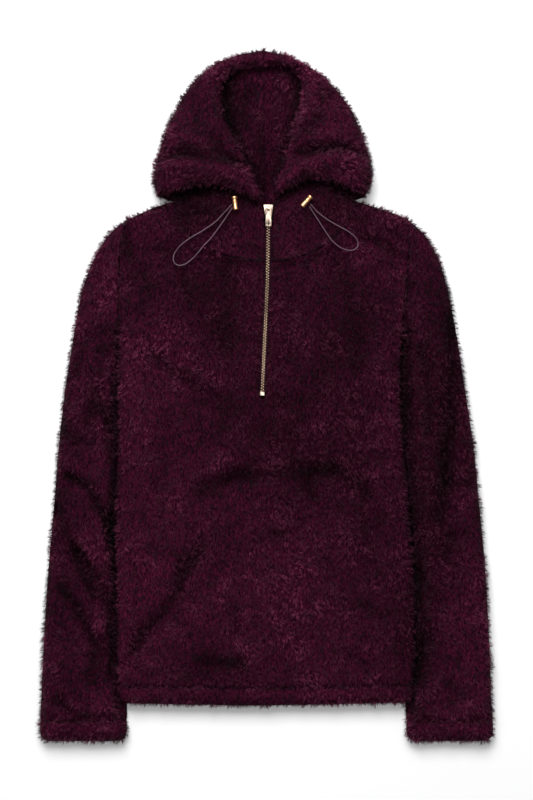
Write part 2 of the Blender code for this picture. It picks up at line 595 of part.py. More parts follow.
def sleeve_ring(section, side, folds):
    """One ring of outer points and one of inner points, over the top from the outer edge and back below."""
    outer = np.array([section.outer_x, section.outer_y])
    inner = np.array([section.inner_x, section.inner_y])
    width = float(np.linalg.norm(inner - outer))
    armhole = LEFT_ARMHOLE if side < 0 else RIGHT_ARMHOLE

    def place(distance):
        share = distance / width
        bent = along(armhole, 1.0 - share) - (armhole[-1] + (armhole[0] - armhole[-1]) * share)
        return outer + (inner - outer) * share + bent * section.bow

    free = width
    while free > width / 2 and outside_front(*place(free), side) < FRONT_CLEARANCE:
        free -= 0.25
    tucked = width - free
    if tucked > TUCKED_AT_LEAST:
        reach, last = (3.0, 8.0, 15.0), (free, free + tucked * 0.6)
    else:
        reach, last = (4.0, 9.0, 15.0), (width - 2.0, width - 0.8)
    across = [0.0, 1.6, 5.0, 12.0, *np.linspace(12.0, free - reach[2], 7)[1:-1],
              *(free - step for step in reversed(reach)), *last, width]
    thick = section.height - section.lift
    edge_z = section.lift + min(SLEEVE_EDGE_Z, thick * 0.36)
    ring, slit = [], []

    def add_to_slit(d, up):
        share = d / width
        x, y = place(SLIT_OUTER_END + (width - SLIT_OUTER_END - SLIT_INNER_END) * share)
        half = SLIT_HALF_HEIGHT * (0.3 + 0.7 * math.sin(math.pi * share))
        slit.append((x, y, section.lift + SLIT_LEVEL * thick + up * half))

    for d in across:
        x, y = place(d)
        full = rounded(d, EDGE_ROUND) * rounded(width - d, EDGE_ROUND)
        z = edge_z + (section.height - edge_z + folds_at(x, y, folds)) * full
        if d == width and tucked > TUCKED_AT_LEAST:
            z = edge_z * 0.55
        ring.append((x, y, min(z, room_under_front(x, y, side))))
        add_to_slit(d, 1)
    under = [(width - 3.0, 0.22), (width - 10.0, 0.0), *((width * share, 0.0) for share in (0.75, 0.5, 0.25)),
             (10.0, 0.0), (3.0, 0.32)]
    for d, rise in under:
        x, y = place(d)
        ring.append((x, y, section.lift + (edge_z - section.lift) * rise))
        add_to_slit(d, -1)
    return ring, slit


def make_sleeve(side):
    name = "sleeve_left" if side < 0 else "sleeve_right"
    folds = LEFT_SLEEVE_FOLDS if side < 0 else RIGHT_SLEEVE_FOLDS
    rings, slits = zip(*(sleeve_ring(s, side, folds) for s in sleeve_sections(side)))
    kept = sorted({*range(0, len(slits), INNER_EVERY), len(slits) - 1})
    bm = bmesh.new()
    outside = [[bm.verts.new(Vector(p) * MM) for p in ring] for ring in rings]
    inside = [[bm.verts.new(Vector(p) * MM) for p in slits[k]] for k in kept]
    count = len(rings[0])
    for skin in (outside, inside):
        for lower, upper in zip(skin, skin[1:]):
            for i in range(count):
                j = (i + 1) % count
                bm.faces.new([lower[i], lower[j], upper[j], upper[i]])
    for end in (0, -1):
        for i in range(count):
            j = (i + 1) % count
            bm.faces.new([outside[end][i], outside[end][j], inside[end][j], inside[end][i]])
    return object_from(bm, name, "fleece")


# Hood

def base_under_hood(x, y):
    """The height of what the hood's side lies on: the neck piece near the roll, and the hood's back elsewhere."""
    top = NECK_LEFT_TOP if x < 0 else NECK_RIGHT_TOP
    reach = -135.5 if x < 0 else 127.0
    edge = np.interp(abs(x), [abs(p.x) for p in top], [p.y for p in top])
    over_neck = y < edge + 3.0 and abs(x) < abs(reach)
    return HOOD_ON_NECK if over_neck else FRONT_UNDER


def make_hood_side(side):
    name = "hood_left" if side < 0 else "hood_right"
    table = LEFT_HOOD if side < 0 else RIGHT_HOOD
    folds = LEFT_HOOD_FOLDS if side < 0 else RIGHT_HOOD_FOLDS
    rows = np.array(table, float)
    fine = []
    for i in range(len(rows) - 1):
        fine.append((i, rows[i]))
        if 1 <= i < ROLL_ROWS_FROM - 1:
            fine.append((i, (rows[i] + rows[i + 1]) / 2))
    fine.append((len(rows) - 1, rows[-1]))
    points, inner, faces = {}, {}, []
    for r, (row_number, row) in enumerate(fine):
        row = HoodRow(*row)
        out = np.array([row.side_x, row.side_y])
        rim = np.array([row.rim_x, row.rim_y])
        width = float(np.linalg.norm(rim - out))
        edge_z = base_under_hood(*out) + EDGE_HEIGHT + 1.0
        turn = min(16.0, width * 0.4)
        for c, share in enumerate(HOOD_SHARES):
            x, y = out + (rim - out) * share
            arch = rounded(share * width, turn)
            fall = eased(share * width, width - turn, width)
            z = edge_z + (row.top - edge_z) * arch
            z += (row.rim_top - row.top) * fall
            z += folds_at(x, y, folds) * arch * (1.0 - fall)
            points[r, c] = (x, y, z)
            base = HOOD_ON_NECK if row_number >= ROLL_ROWS_FROM else base_under_hood(x, y)
            inset = 1.0 if c == len(HOOD_SHARES) - 1 else 0.0
            inner[r, c] = (x, y, max(base, z - FLEECE + 2.0 * inset))
    for r in range(len(fine) - 1):
        for c in range(len(HOOD_SHARES) - 1):
            face = [(r, c), (r, c + 1), (r + 1, c + 1), (r + 1, c)]
            faces.append(face[::-1] if side < 0 else face)
    return wall(name, points, faces, inner)


def make_hood_back(side):
    name = "hood_back_left" if side < 0 else "hood_back_right"
    table = LEFT_HOOD if side < 0 else RIGHT_HOOD
    outline = smooth_line([Point(row.side_x, row.side_y) for row in table[:HOOD_OUTLINE_ROWS]], 26)
    seam_x = HOOD_SEAM_X + side * SEAM_GAP / 2
    outline[0] = (seam_x, HOOD_TOP_Y)
    neck = back_neckline(25) + np.array([0.0, SEAM_GAP])
    neck = neck[neck[:, 0] * side > HOOD_SEAM_X * side + 4.0]
    neck = neck[np.argsort(-np.abs(neck[:, 0]))]
    corner = np.array([[seam_x, BACK_NECK_Y + SEAM_GAP]])
    centre = np.array([[seam_x, y] for y in (320.0, 375.0, 430.0)])
    runs = [(outline, 1), (neck, 0), (corner, 0), (centre, 0)]
    points = np.vstack([line for line, _ in runs])
    free = np.concatenate([np.full(len(line), flag) for line, flag in runs])
    free[0] = 0
    return slab(name, points, free, 0.0, BACK_TOP)


def make_neck(side):
    """The front of the neck, between the zip, the neckline seam and the roll of the hood that covers its top."""
    name = "neck_left" if side < 0 else "neck_right"
    top = smooth_line(NECK_LEFT_TOP if side < 0 else NECK_RIGHT_TOP, 40)
    rows = (0.0, 0.03, 0.09, 0.22, 0.4, 0.58, 0.76, 0.9, 1.0)
    columns = len(NECK_TURNS) - 1
    points, faces = {}, []
    for c, turn in enumerate(NECK_TURNS):
        low = neck_edges(turn)[0 if side < 0 else 1] + np.array([-0.2 * side, SEAM_GAP])
        high = along(top, turn)
        length = float(np.linalg.norm(high - low))
        for r, rise in enumerate(rows):
            x, y = low + (high - low) * rise
            if c == 0:
                x = zip_x(y) + side * slit_half(y)
            drawn = SEAM_DEPTH * (1.0 - rounded(rise * length, SEAM_ROUND))
            drawn += SEAM_DEPTH * (1.0 - rounded(abs(x - zip_x(y)) - slit_half(y), SEAM_ROUND))
            points[r, c] = (x, y, NECK_TOP - min(drawn, SEAM_DEPTH + 2.0))
    for r in range(len(rows) - 1):
        for c in range(columns):
            face = [(r, c), (r, c + 1), (r + 1, c + 1), (r + 1, c)]
            faces.append(face[::-1] if side < 0 else face)
    return wall(name, points, faces, FRONT_UNDER)


# Zip, toggles and cords

def extruded(name, outlines, thick):
    """A curve object: a flat outline, with any holes, of this thickness."""
    curve = bpy.data.curves.new(name, "CURVE")
    curve.dimensions = "2D"
    curve.fill_mode = "BOTH"
    curve.extrude = thick / 2 * MM
    curve.resolution_u = 1
    for outline in outlines:
        spline = curve.splines.new("POLY")
        spline.points.add(len(outline) - 1)
        for point, (x, y) in zip(spline.points, outline):
            point.co = (x * MM, y * MM, 0.0, 1.0)
        spline.use_cyclic_u = True
    return curve


def mesh_of_curve(curve, matrix):
    """A welded mesh from a curve, in place."""
    holder = bpy.data.objects.new("holder", curve)
    HOODIE.objects.link(holder)
    bpy.context.view_layer.update()
    mesh = bpy.data.meshes.new_from_object(holder.evaluated_get(bpy.context.evaluated_depsgraph_get()))
    bpy.data.objects.remove(holder)
    bm = bmesh.new()
    bm.from_mesh(mesh)
    bmesh.ops.remove_doubles(bm, verts=bm.verts[:], dist=1e-6)
    bmesh.ops.transform(bm, matrix=matrix, verts=bm.verts[:])
    bmesh.ops.recalc_face_normals(bm, faces=bm.faces[:])
    bm.to_mesh(mesh)
    bm.free()
    return mesh


SLIDER_WIDTH = 13.4
SLIDER_MOUTH_SHARE = 0.70
TOP_PLATE = 2.3
LOW_PLATE = 1.8
PLATE_CHAMFER = 0.8
POST_DEPTH = 3.6
CHAIN_PLAY_BELOW = 0.4
CHAIN_PLAY_ABOVE = 0.7


def slider_side_view():
    """The slider from the side, as y and z: two plates on either side of the chain, joined by the post above it."""
    chain_low = TAPE_Z - CHAIN_PLAY_BELOW
    chain_high = TAPE_Z + TAPE_THICK + CHAIN_THICK + CHAIN_PLAY_ABOVE
    top, low, cut = chain_high + TOP_PLATE, chain_low - LOW_PLATE, PLATE_CHAMFER
    return [
        (SLIDER_BOTTOM_Y, chain_high), (SLIDER_BOTTOM_Y, top - cut), (SLIDER_BOTTOM_Y + cut, top),
        (ZIP_TOP_Y - cut, top), (ZIP_TOP_Y, top - cut), (ZIP_TOP_Y, low + cut), (ZIP_TOP_Y - cut, low),
        (SLIDER_BOTTOM_Y + cut, low), (SLIDER_BOTTOM_Y, low + cut), (SLIDER_BOTTOM_Y, chain_low),
        (ZIP_TOP_Y - POST_DEPTH, chain_low), (ZIP_TOP_Y - POST_DEPTH, chain_high),
    ]


PULL_AXIS_Y = 262.0
BRIDGE_HALF = 3.3
BRIDGE_RISE = 2.9
BRIDGE_WIDTH = 2.2
BRIDGE_SUNK = 1.0
BRIDGE_HOLE = (1.9, 1.55)


def slider_bridge():
    """The bridge that holds the pull, from the side, and the round hole that the pull's bar turns in."""
    foot = TAPE_Z + TAPE_THICK + CHAIN_THICK + CHAIN_PLAY_ABOVE + TOP_PLATE - BRIDGE_SUNK
    outer = [(PULL_AXIS_Y + BRIDGE_HALF, foot), (PULL_AXIS_Y - BRIDGE_HALF, foot)]
    outer += [(PULL_AXIS_Y - BRIDGE_HALF * math.cos(a), PULL_AXIS_Z + 0.2 + BRIDGE_RISE * math.sin(a))
              for a in np.linspace(0.0, math.pi, 9)]
    return outer, ring_of(*BRIDGE_HOLE, PULL_AXIS_Y, PULL_AXIS_Z)


def ring_of(across, up, x, y):
    """Twelve points round an ellipse of these half sizes at x, y."""
    return [(x + across * math.cos(a), y + up * math.sin(a)) for a in np.linspace(0.0, 2 * math.pi, 13)[:-1]]


def make_slider():
    """The slider's body, tapering from its top to its mouth, with the bridge joined on."""
    stand_up = Matrix(((0, 0, 1, 0), (1, 0, 0, 0), (0, 1, 0, 0), (0, 0, 0, 1)))
    body_mesh = mesh_of_curve(extruded("zip_slider", [slider_side_view()], SLIDER_WIDTH), stand_up)
    for vertex in body_mesh.vertices:
        rise = (vertex.co.y / MM - SLIDER_BOTTOM_Y) / (ZIP_TOP_Y - SLIDER_BOTTOM_Y)
        vertex.co.x *= SLIDER_MOUTH_SHARE + (1.0 - SLIDER_MOUTH_SHARE) * eased(rise, 0.25, 1.0)
    body = add_object("zip_slider", body_mesh, "zip_brass")
    bridge = bpy.data.objects.new("bridge", mesh_of_curve(extruded("bridge", slider_bridge(), BRIDGE_WIDTH), stand_up))
    CUTTERS.objects.link(bridge)
    bridge.hide_render = True
    bridge.display_type = "WIRE"
    join = body.modifiers.new("bridge", "BOOLEAN")
    join.operation = "UNION"
    join.object = bridge
    bridge.location.x = body.location.x = zip_x(PULL_AXIS_Y) * MM
    return body


def rounded_rectangle(width, low, high, radius, steps=4):
    """The outline of a plate that is centred on x, with round corners."""
    outline = []
    for cx, cy, start in ((width / 2 - radius, high - radius, 0.0), (-width / 2 + radius, high - radius, 90.0),
                          (-width / 2 + radius, low + radius, 180.0), (width / 2 - radius, low + radius, 270.0)):
        outline += [(cx + radius * math.cos(math.radians(start + 90.0 * i / steps)),
                     cy + radius * math.sin(math.radians(start + 90.0 * i / steps))) for i in range(steps + 1)]
    return outline


PULL_WIDTH = 8.5
PULL_LENGTH = 26.0
PULL_THICK = 1.6
PULL_TOP = 0.8
PULL_CORNER = 1.6
WINDOW_WIDTH = 4.2
WINDOW_LOW = -7.4
WINDOW_HIGH = -0.9
EYE_RADIUS = 1.5
EYE_AT = -22.0
PULL_TILT = math.radians(12.0)


def make_pull():
    """The pull tab, which lies down along the chain. Its origin is on the axis of the bar in the slider's bridge."""
    outline = rounded_rectangle(PULL_WIDTH, PULL_TOP - PULL_LENGTH, PULL_TOP, PULL_CORNER)
    window = rounded_rectangle(WINDOW_WIDTH, WINDOW_LOW, WINDOW_HIGH, 1.0, steps=2)
    eye = ring_of(EYE_RADIUS, EYE_RADIUS, 0.0, EYE_AT)
    mesh = mesh_of_curve(extruded("zip_pull", [outline, window, eye], PULL_THICK), Matrix.Identity(4))
    pull = add_object("zip_pull", mesh, "zip_brass")
    pull.location = Vector((zip_x(PULL_AXIS_Y), PULL_AXIS_Y, PULL_AXIS_Z)) * MM
    pull.rotation_euler.x = PULL_TILT
    return pull


def along_zip(low_y, high_y, half):
    """The outline of a band of this half width that follows the zip."""
    heights = np.linspace(low_y, high_y, ZIP_STEPS)
    left, right = ([(zip_x(y) + side * half(y), y) for y in heights] for side in (-1, 1))
    return right + left[::-1]


def tape_half(y):
    """Half the width of the tape that shows in the slit. It doesn't widen with the slit at the slider."""
    if y > TAPE_STRAIGHT_FROM_Y:
        return SLIT_HALF - TAPE_GAP
    return slit_half(y) - TAPE_GAP


def make_band(name, outline, low, thick, material):
    """A flat band raised to its thickness."""
    place = Matrix.Translation(Vector((0.0, 0.0, low + thick / 2)) * MM)
    return add_object(name, mesh_of_curve(extruded(name, [outline], thick), place), material)


def make_zip():
    chain_low = TAPE_Z + TAPE_THICK + LAYER_GAP
    tape_low_y = ZIP_BOTTOM_Y + TAPE_FROM_BOTTOM
    make_band("zip_tape", along_zip(tape_low_y, ZIP_TOP_Y - CHAIN_BELOW_TOP, tape_half), TAPE_Z, TAPE_THICK, "zip_tape")
    chain = along_zip(ZIP_BOTTOM_Y + CHAIN_FROM_BOTTOM, ZIP_TOP_Y - CHAIN_BELOW_TOP, lambda y: CHAIN_HALF)
    make_band("zip_chain", chain, chain_low, CHAIN_THICK - LAYER_GAP, "zip_brass")
    bm = bmesh.new()
    bmesh.ops.create_cube(bm, size=1.0)
    bmesh.ops.scale(bm, vec=Vector(STOP_SIZE) * MM, verts=bm.verts[:])
    stop = object_from(bm, "zip_stop", "zip_brass")
    stop_y = ZIP_BOTTOM_Y + CHAIN_FROM_BOTTOM - STOP_GAP - STOP_SIZE[1] / 2
    stop.location = Vector((zip_x(stop_y), stop_y, chain_low + STOP_SIZE[2] / 2)) * MM
    make_slider()
    make_pull()


def make_toggle(name, toggle):
    """A metal barrel, turned from its profile, lying on the neck just below the hood's roll."""
    mesh = bpy.data.meshes.new(name)
    profile = [(radius * MM, 0.0, (TOGGLE_LENGTH / 2 - at) * MM) for radius, at in TOGGLE_PROFILE]
    mesh.from_pydata(profile, [(i, i + 1) for i in range(len(profile) - 1)], [])
    obj = add_object(name, mesh, "toggle_copper")
    spin = obj.modifiers.new("spin", "SCREW")
    spin.steps = spin.render_steps = 16
    spin.use_merge_vertices = True
    spin.merge_threshold = 1e-5
    obj.location = Vector((toggle.x, toggle.y, NECK_TOP + TOGGLE_PROFILE[2][0] + LAYER_GAP)) * MM
    obj.rotation_euler = (math.radians(-90.0), 0.0, toggle.turn)
    return obj


def surface_under(x, y):
    """The height of the cloth that a cord lies on."""
    for obj in CLOTH_UNDER_CORDS:
        hit, place, _, _ = obj.ray_cast(Vector((x * MM, y * MM, 0.2)), Vector((0, 0, -1)))
        if hit:
            return place.z / MM
    return NECK_TOP


def over_dips(heights):
    """Each height raised to the highest of its neighbours, so that the straight runs between them clear the cloth."""
    padded = np.pad(heights, 1, mode="edge")
    return np.max([padded[:-2], padded[1:-1], padded[2:]], axis=0)


def make_cord(name, loop):
    """A loop of elastic cord on the cloth, between two points beside its toggle."""
    route = smooth_line(loop, CORD_POINTS)
    radius = CORD_DIAMETER / 2
    heights = np.array([surface_under(x, y) for x, y in route]) + radius + CORD_CLEARANCE
    toggle_z = NECK_TOP + TOGGLE_PROFILE[2][0] + LAYER_GAP
    for i, height in enumerate(over_dips(heights)):
        near_end = 1.0 - eased(min(i, CORD_POINTS - 1 - i), 0.0, 4.0)
        heights[i] = height * (1.0 - near_end) + toggle_z * near_end
    curve = bpy.data.curves.new(name, "CURVE")
    curve.dimensions = "3D"
    curve.bevel_depth = radius * MM
    curve.bevel_resolution = 2
    curve.use_fill_caps = True
    spline = curve.splines.new("POLY")
    spline.points.add(CORD_POINTS - 1)
    for point, (x, y), z in zip(spline.points, route, heights):
        point.co = (x * MM, y * MM, z * MM, 1.0)
    return add_object(name, curve, "cord_elastic")


clear_scene()
MATERIALS = make_materials()
HOODIE = bpy.data.collections.new("fleece_hoodie")
CUTTERS = bpy.data.collections.new("cutters")
bpy.context.scene.collection.children.link(HOODIE)
bpy.context.scene.collection.children.link(CUTTERS)

make_back()
front = make_front()
for hood_half in (-1, 1):
    make_sleeve(hood_half)
    make_hood_back(hood_half)
    make_hood_side(hood_half)
CLOTH_UNDER_CORDS = [make_neck(-1), make_neck(1), front]
make_zip()
make_toggle("toggle_left", LEFT_TOGGLE)
make_toggle("toggle_right", RIGHT_TOGGLE)
bpy.context.view_layer.update()
make_cord("cord_left", LEFT_LOOP)
make_cord("cord_right", RIGHT_LOOP)
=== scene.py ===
"""The looks of a half-zip fleece hoodie that lies flat: its pile, seams, zip, cord locks and cords.

Lengths are in metres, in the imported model's frame: +X to the right seen from above, +Y towards the
hood and +Z up.
"""

import logging
import math
import random
from dataclasses import dataclass, field
from enum import Enum
from typing import Any, Iterable, Optional, Sequence

import bmesh
import bpy
import numpy as np
from mathutils import Matrix, Vector, noise
from mathutils.bvhtree import BVHTree
from mathutils.kdtree import KDTree


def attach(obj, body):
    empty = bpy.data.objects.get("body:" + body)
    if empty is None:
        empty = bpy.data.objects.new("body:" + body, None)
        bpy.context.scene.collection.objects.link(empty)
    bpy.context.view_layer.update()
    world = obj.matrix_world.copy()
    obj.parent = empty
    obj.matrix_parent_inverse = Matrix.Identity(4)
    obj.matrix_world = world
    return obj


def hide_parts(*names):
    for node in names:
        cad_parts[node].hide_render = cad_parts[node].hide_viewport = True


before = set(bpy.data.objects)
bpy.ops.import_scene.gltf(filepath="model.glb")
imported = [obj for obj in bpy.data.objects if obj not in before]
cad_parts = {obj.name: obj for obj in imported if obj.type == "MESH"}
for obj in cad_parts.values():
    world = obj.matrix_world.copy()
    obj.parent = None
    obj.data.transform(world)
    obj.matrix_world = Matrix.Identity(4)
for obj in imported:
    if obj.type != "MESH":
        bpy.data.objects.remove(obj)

LOG = logging.getLogger("hoodie")
MM = 0.001
GARMENT = "garment"
PULL_TAB = "pull_tab"
Colour = tuple[float, float, float]


class Slot(Enum):
    """The record's finishes."""

    FLEECE = "fleece"
    BRASS = "zip_brass"
    COPPER = "toggle_copper"
    TAPE = "zip_tape"
    CORD = "cord_elastic"


class Comb(Enum):
    """How the pile lies on a piece."""

    DOWN = "towards the hem"
    OUT_FROM_FACE = "away from the face opening and down"


# Shared helpers


def smoothstep(value: float, low: float, high: float) -> float:
    """A smooth rise from 0 at low to 1 at high.

    Args:
        value: The number to place between the two.
        low: Where the rise starts.
        high: Where it ends.

    Returns:
        A number from 0 to 1.
    """
    t = min(max((value - low) / (high - low), 0.0), 1.0)
    return t * t * (3.0 - 2.0 * t)


def add_object(name: str, data: Any) -> bpy.types.Object:
    """Links new data into the scene as an object at the origin.

    Args:
        name: The object's name.
        data: A mesh, curve, light or camera.

    Returns:
        The new object.
    """
    obj = bpy.data.objects.new(name, data)
    bpy.context.scene.collection.objects.link(obj)
    return obj


def mesh_from(bm: bmesh.types.BMesh, name: str, smooth: bool = True) -> bpy.types.Mesh:
    """Turns a bmesh into a mesh and frees it.

    Args:
        bm: The bmesh.
        name: The mesh's name.
        smooth: Whether its faces are shaded smooth.

    Returns:
        The new mesh.
    """
    mesh = bpy.data.meshes.new(name)
    bm.to_mesh(mesh)
    bm.free()
    if smooth:
        mesh.shade_smooth()
    return mesh


def evaluated_mesh(obj: bpy.types.Object) -> bpy.types.Mesh:
    """A plain mesh of an object with its modifiers applied.

    Args:
        obj: The object.

    Returns:
        The new mesh.
    """
    bpy.context.view_layer.update()
    graph = bpy.context.evaluated_depsgraph_get()
    return bpy.data.meshes.new_from_object(obj.evaluated_get(graph))


def bake_modifiers(obj: bpy.types.Object) -> None:
    """Replaces an object's mesh by its evaluated one and drops its modifiers.

    Args:
        obj: The object.
    """
    mesh = evaluated_mesh(obj)
    obj.modifiers.clear()
    obj.data = mesh


def merged_copy(node: str, name: str) -> bpy.types.Mesh:
    """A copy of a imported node's mesh with its loose triangles joined.

    Args:
        node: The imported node.
        name: The new mesh's name.

    Returns:
        The joined mesh.
    """
    bm = bmesh.new()
    bm.from_mesh(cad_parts[node].data)
    bmesh.ops.remove_doubles(bm, verts=bm.verts[:], dist=1e-6)
    return mesh_from(bm, name, smooth=False)


def triangles_of(obj: bpy.types.Object) -> int:
    """How many triangles an object's mesh has."""
    return sum(len(polygon.vertices) - 2 for polygon in obj.data.polygons)


@dataclass
class Graph:
    """A short way to add nodes to a node tree and to join them."""

    tree: Any

    def add(self, kind: str, inputs: Optional[dict[Any, Any]] = None, **settings: Any) -> Any:
        """Adds a node.

        Args:
            kind: The node's type name.
            inputs: Input name or number to a value, or to an output socket to link from.
            settings: The node's own properties.

        Returns:
            The new node.
        """
        node = self.tree.nodes.new(kind)
        for name, value in settings.items():
            setattr(node, name, value)
        self.feed(node, inputs or {})
        return node

    def feed(self, node: Any, inputs: dict[Any, Any]) -> None:
        """Sets or links a node's inputs.

        Args:
            node: The node.
            inputs: Input name or number to a value, or to an output socket to link from.
        """
        for key, value in inputs.items():
            if isinstance(value, bpy.types.NodeSocket):
                self.tree.links.new(value, node.inputs[key])
            else:
                node.inputs[key].default_value = value

    def attribute(self, name: str) -> Any:
        """The number that a mesh attribute gives, in a material."""
        return self.add("ShaderNodeAttribute", attribute_name=name).outputs["Fac"]

    def place(self) -> Any:
        """Object coordinates, which are the model's own frame."""
        return self.add("ShaderNodeTexCoord").outputs["Object"]

    def maths(self, operation: str, first: Any, second: Any = 0.0) -> Any:
        """The output of a Math node on two numbers or sockets."""
        return self.add("ShaderNodeMath", {0: first, 1: second}, operation=operation).outputs[0]

    def between(
        self, value: Any, limits: tuple[float, float], source: tuple[float, float] = (0.0, 1.0)
    ) -> Any:
        """A number brought over from one range to another.

        Args:
            value: The socket of the number.
            limits: The least and the greatest result.
            source: What gives the least and what gives the greatest.

        Returns:
            The socket of the result.
        """
        return self.add("ShaderNodeMapRange", {
            "Value": value, "From Min": source[0], "From Max": source[1], "To Min": limits[0],
            "To Max": limits[1],
        }).outputs["Result"]

    def ramp(self, value: Any, stops: Sequence[tuple[float, Colour]]) -> Any:
        """The colour output of a ramp.

        Args:
            value: The socket that drives it.
            stops: Each stop's place and colour.

        Returns:
            The ramp's colour socket.
        """
        node = self.add("ShaderNodeValToRGB", {0: value})
        elements = node.color_ramp.elements
        while len(elements) < len(stops):
            elements.new(0.5)
        for element, (place, colour) in zip(elements, stops):
            element.position = place
            element.color = (*colour, 1.0)
        return node.outputs["Color"]


# Finishes


def darker(colour: Colour, share: float) -> Colour:
    """A colour with each of its channels brought down to a share of itself."""
    return tuple(channel * share for channel in colour)


@dataclass(frozen=True)
class Finish:
    """A finish that makes its material once and then shares it."""

    name: str

    def dress(self, graph: Graph, shader: Any) -> None:
        """Sets the shader's inputs. Each finish has its own."""
        raise NotImplementedError

    def material(self) -> bpy.types.Material:
        """The finish's material, made on first use.

        Returns:
            The material.
        """
        found = bpy.data.materials.get(self.name)
        if found:
            return found
        made = bpy.data.materials.new(self.name)
        made.use_nodes = True
        self.dress(Graph(made.node_tree), made.node_tree.nodes["Principled BSDF"])
        return made


@dataclass(frozen=True)
class PileFinish(Finish):
    """Fibres of the pile: darker towards the root, as painted shade deep in the pile, and lighter at the
    tip, in patches.
    """

    # The root's dark colour is painted shade deep in the pile.
    root: Colour = (0.013, 0.0007, 0.0046)
    middle: Colour = (0.054, 0.0052, 0.0195)
    tip: Colour = (0.130, 0.030, 0.058)
    middle_at: float = 0.45
    sheen: Colour = (0.80, 0.25, 0.48)
    patch_size: float = 0.026
    patch_limits: tuple[float, float] = (0.34, 1.44)
    sweep_size: float = 0.085
    sweep_limits: tuple[float, float] = (0.12, 1.46)
    lock_limits: tuple[float, float] = (0.84, 1.16)
    cloud_edges: tuple[float, float] = (0.38, 0.60)

    def dress(self, graph: Graph, shader: Any) -> None:
        """Colour by tip and lock, times the painted shade and light, in small patches and wide sweeps of the
        nap.

        Args:
            graph: The material's graph.
            shader: Its Principled BSDF node.
        """
        # The third attribute is the shell's painted shade and painted light.
        tip, shade, tone = (graph.attribute(name) for name in ("tip", "shade", "tone"))
        colour = graph.ramp(tip, ((0.0, self.root), (self.middle_at, self.middle), (1.0, self.tip)))
        patch = self.cloud(graph, self.patch_size, 2.5, self.patch_limits)
        sweep = self.cloud(graph, self.sweep_size, 4.0, self.sweep_limits)
        lock = graph.between(shade, self.lock_limits)
        mottle_and_painted_shading = graph.maths("MULTIPLY", patch, sweep)
        value = graph.maths("MULTIPLY", graph.maths("MULTIPLY", mottle_and_painted_shading, lock), tone)
        toned = graph.add("ShaderNodeHueSaturation", {"Value": value, "Color": colour}).outputs["Color"]
        graph.feed(shader, {
            "Base Color": toned, "Roughness": 0.55, "Specular IOR Level": 0.10, "Sheen Weight": 0.06,
            "Sheen Roughness": 0.4, "Sheen Tint": (*self.sheen, 1.0),
        })

    def cloud(self, graph: Graph, size: float, detail: float, limits: tuple[float, float]) -> Any:
        """A cloudy brightness of the nap.

        Args:
            graph: The material's graph.
            size: How wide its clouds are, in metres.
            detail: How many finer layers they have.
            limits: The least and the greatest brightness.

        Returns:
            The socket of the brightness.
        """
        clouds = graph.add("ShaderNodeTexNoise", {
            "Vector": graph.place(), "Scale": 1.0 / size, "Detail": detail, "Roughness": 0.62,
            "Distortion": 0.6,
        }).outputs["Fac"]
        return graph.between(clouds, limits, self.cloud_edges)


@dataclass(frozen=True)
class BackingFinish(Finish):
    """The dense ground of the pile between its locks, with short combed strokes."""

    dark: Colour = (0.0050, 0.0003, 0.0020)
    light: Colour = (0.048, 0.0045, 0.0175)
    stroke_size: float = 0.0016
    stroke_stretch: tuple[float, float, float] = (1.0, 0.30, 0.6)

    def dress(self, graph: Graph, shader: Any) -> None:
        """Strokes that are drawn out along the pile, as colour and bump, darkened by the painted shade.

        Args:
            graph: The material's graph.
            shader: Its Principled BSDF node.
        """
        # The shell's painted shade and painted light, as a share of the colour.
        tone = graph.attribute("tone")
        stretched = graph.add("ShaderNodeMapping", {"Vector": graph.place(), "Scale": self.stroke_stretch})
        strokes = graph.add("ShaderNodeTexNoise", {
            "Vector": stretched.outputs[0], "Scale": 1.0 / self.stroke_size, "Detail": 2.0,
            "Distortion": 1.1,
        }).outputs["Fac"]
        colour = graph.ramp(strokes, ((0.38, self.dark), (0.68, self.light)))
        toned = graph.add("ShaderNodeHueSaturation", {"Value": tone, "Color": colour}).outputs["Color"]
        bump = graph.add("ShaderNodeBump", {
            "Height": strokes, "Strength": 0.9, "Distance": self.stroke_size}).outputs[0]
        graph.feed(shader, {
            "Base Color": toned, "Normal": bump, "Roughness": 1.0, "Specular IOR Level": 0.03})


@dataclass(frozen=True)
class MetalFinish(Finish):
    """Polished metal with faint handling marks."""

    colour: Colour
    roughness: float = 0.27
    wear_scale: float = 260.0
    worn_tone: float = 0.78

    def dress(self, graph: Graph, shader: Any) -> None:
        """Metal whose roughness and tone wander a little.

        Args:
            graph: The material's graph.
            shader: Its Principled BSDF node.
        """
        smudge = graph.add("ShaderNodeTexNoise", {
            "Vector": graph.place(), "Scale": self.wear_scale, "Detail": 4.0}).outputs["Fac"]
        deep = darker(self.colour, self.worn_tone)
        graph.feed(shader, {
            "Base Color": graph.ramp(smudge, ((0.3, deep), (0.6, self.colour))),
            "Roughness": graph.between(smudge, (self.roughness * 0.7, self.roughness * 1.5)),
            "Metallic": 1.0,
        })


@dataclass(frozen=True)
class TapeFinish(Finish):
    """The zip's woven tape: fine ribs across it."""

    colour: Colour = (0.022, 0.003, 0.010)
    rib: float = 0.0009
    twill: float = 28.0
    bump: float = 0.0003

    def dress(self, graph: Graph, shader: Any) -> None:
        """A herringbone of two wave patterns.

        Args:
            graph: The material's graph.
            shader: Its Principled BSDF node.
        """
        place = graph.place()
        waves = []
        for turn in (self.twill, -self.twill):
            turned = graph.add("ShaderNodeMapping", {
                "Vector": place, "Rotation": (0.0, 0.0, math.radians(turn))}).outputs[0]
            wave = graph.add("ShaderNodeTexWave", {
                "Vector": turned, "Scale": 1.0 / self.rib / 6.0}, bands_direction="Y")
            waves.append(wave.outputs["Fac"])
        weave = graph.maths("MULTIPLY", *waves)
        bump = graph.add("ShaderNodeBump", {"Height": weave, "Strength": 0.6, "Distance": self.bump})
        graph.feed(shader, {
            "Base Color": graph.ramp(weave, ((0.1, darker(self.colour, 0.4)), (0.8, self.colour))),
            "Normal": bump.outputs[0], "Roughness": 0.9, "Specular IOR Level": 0.08,
        })


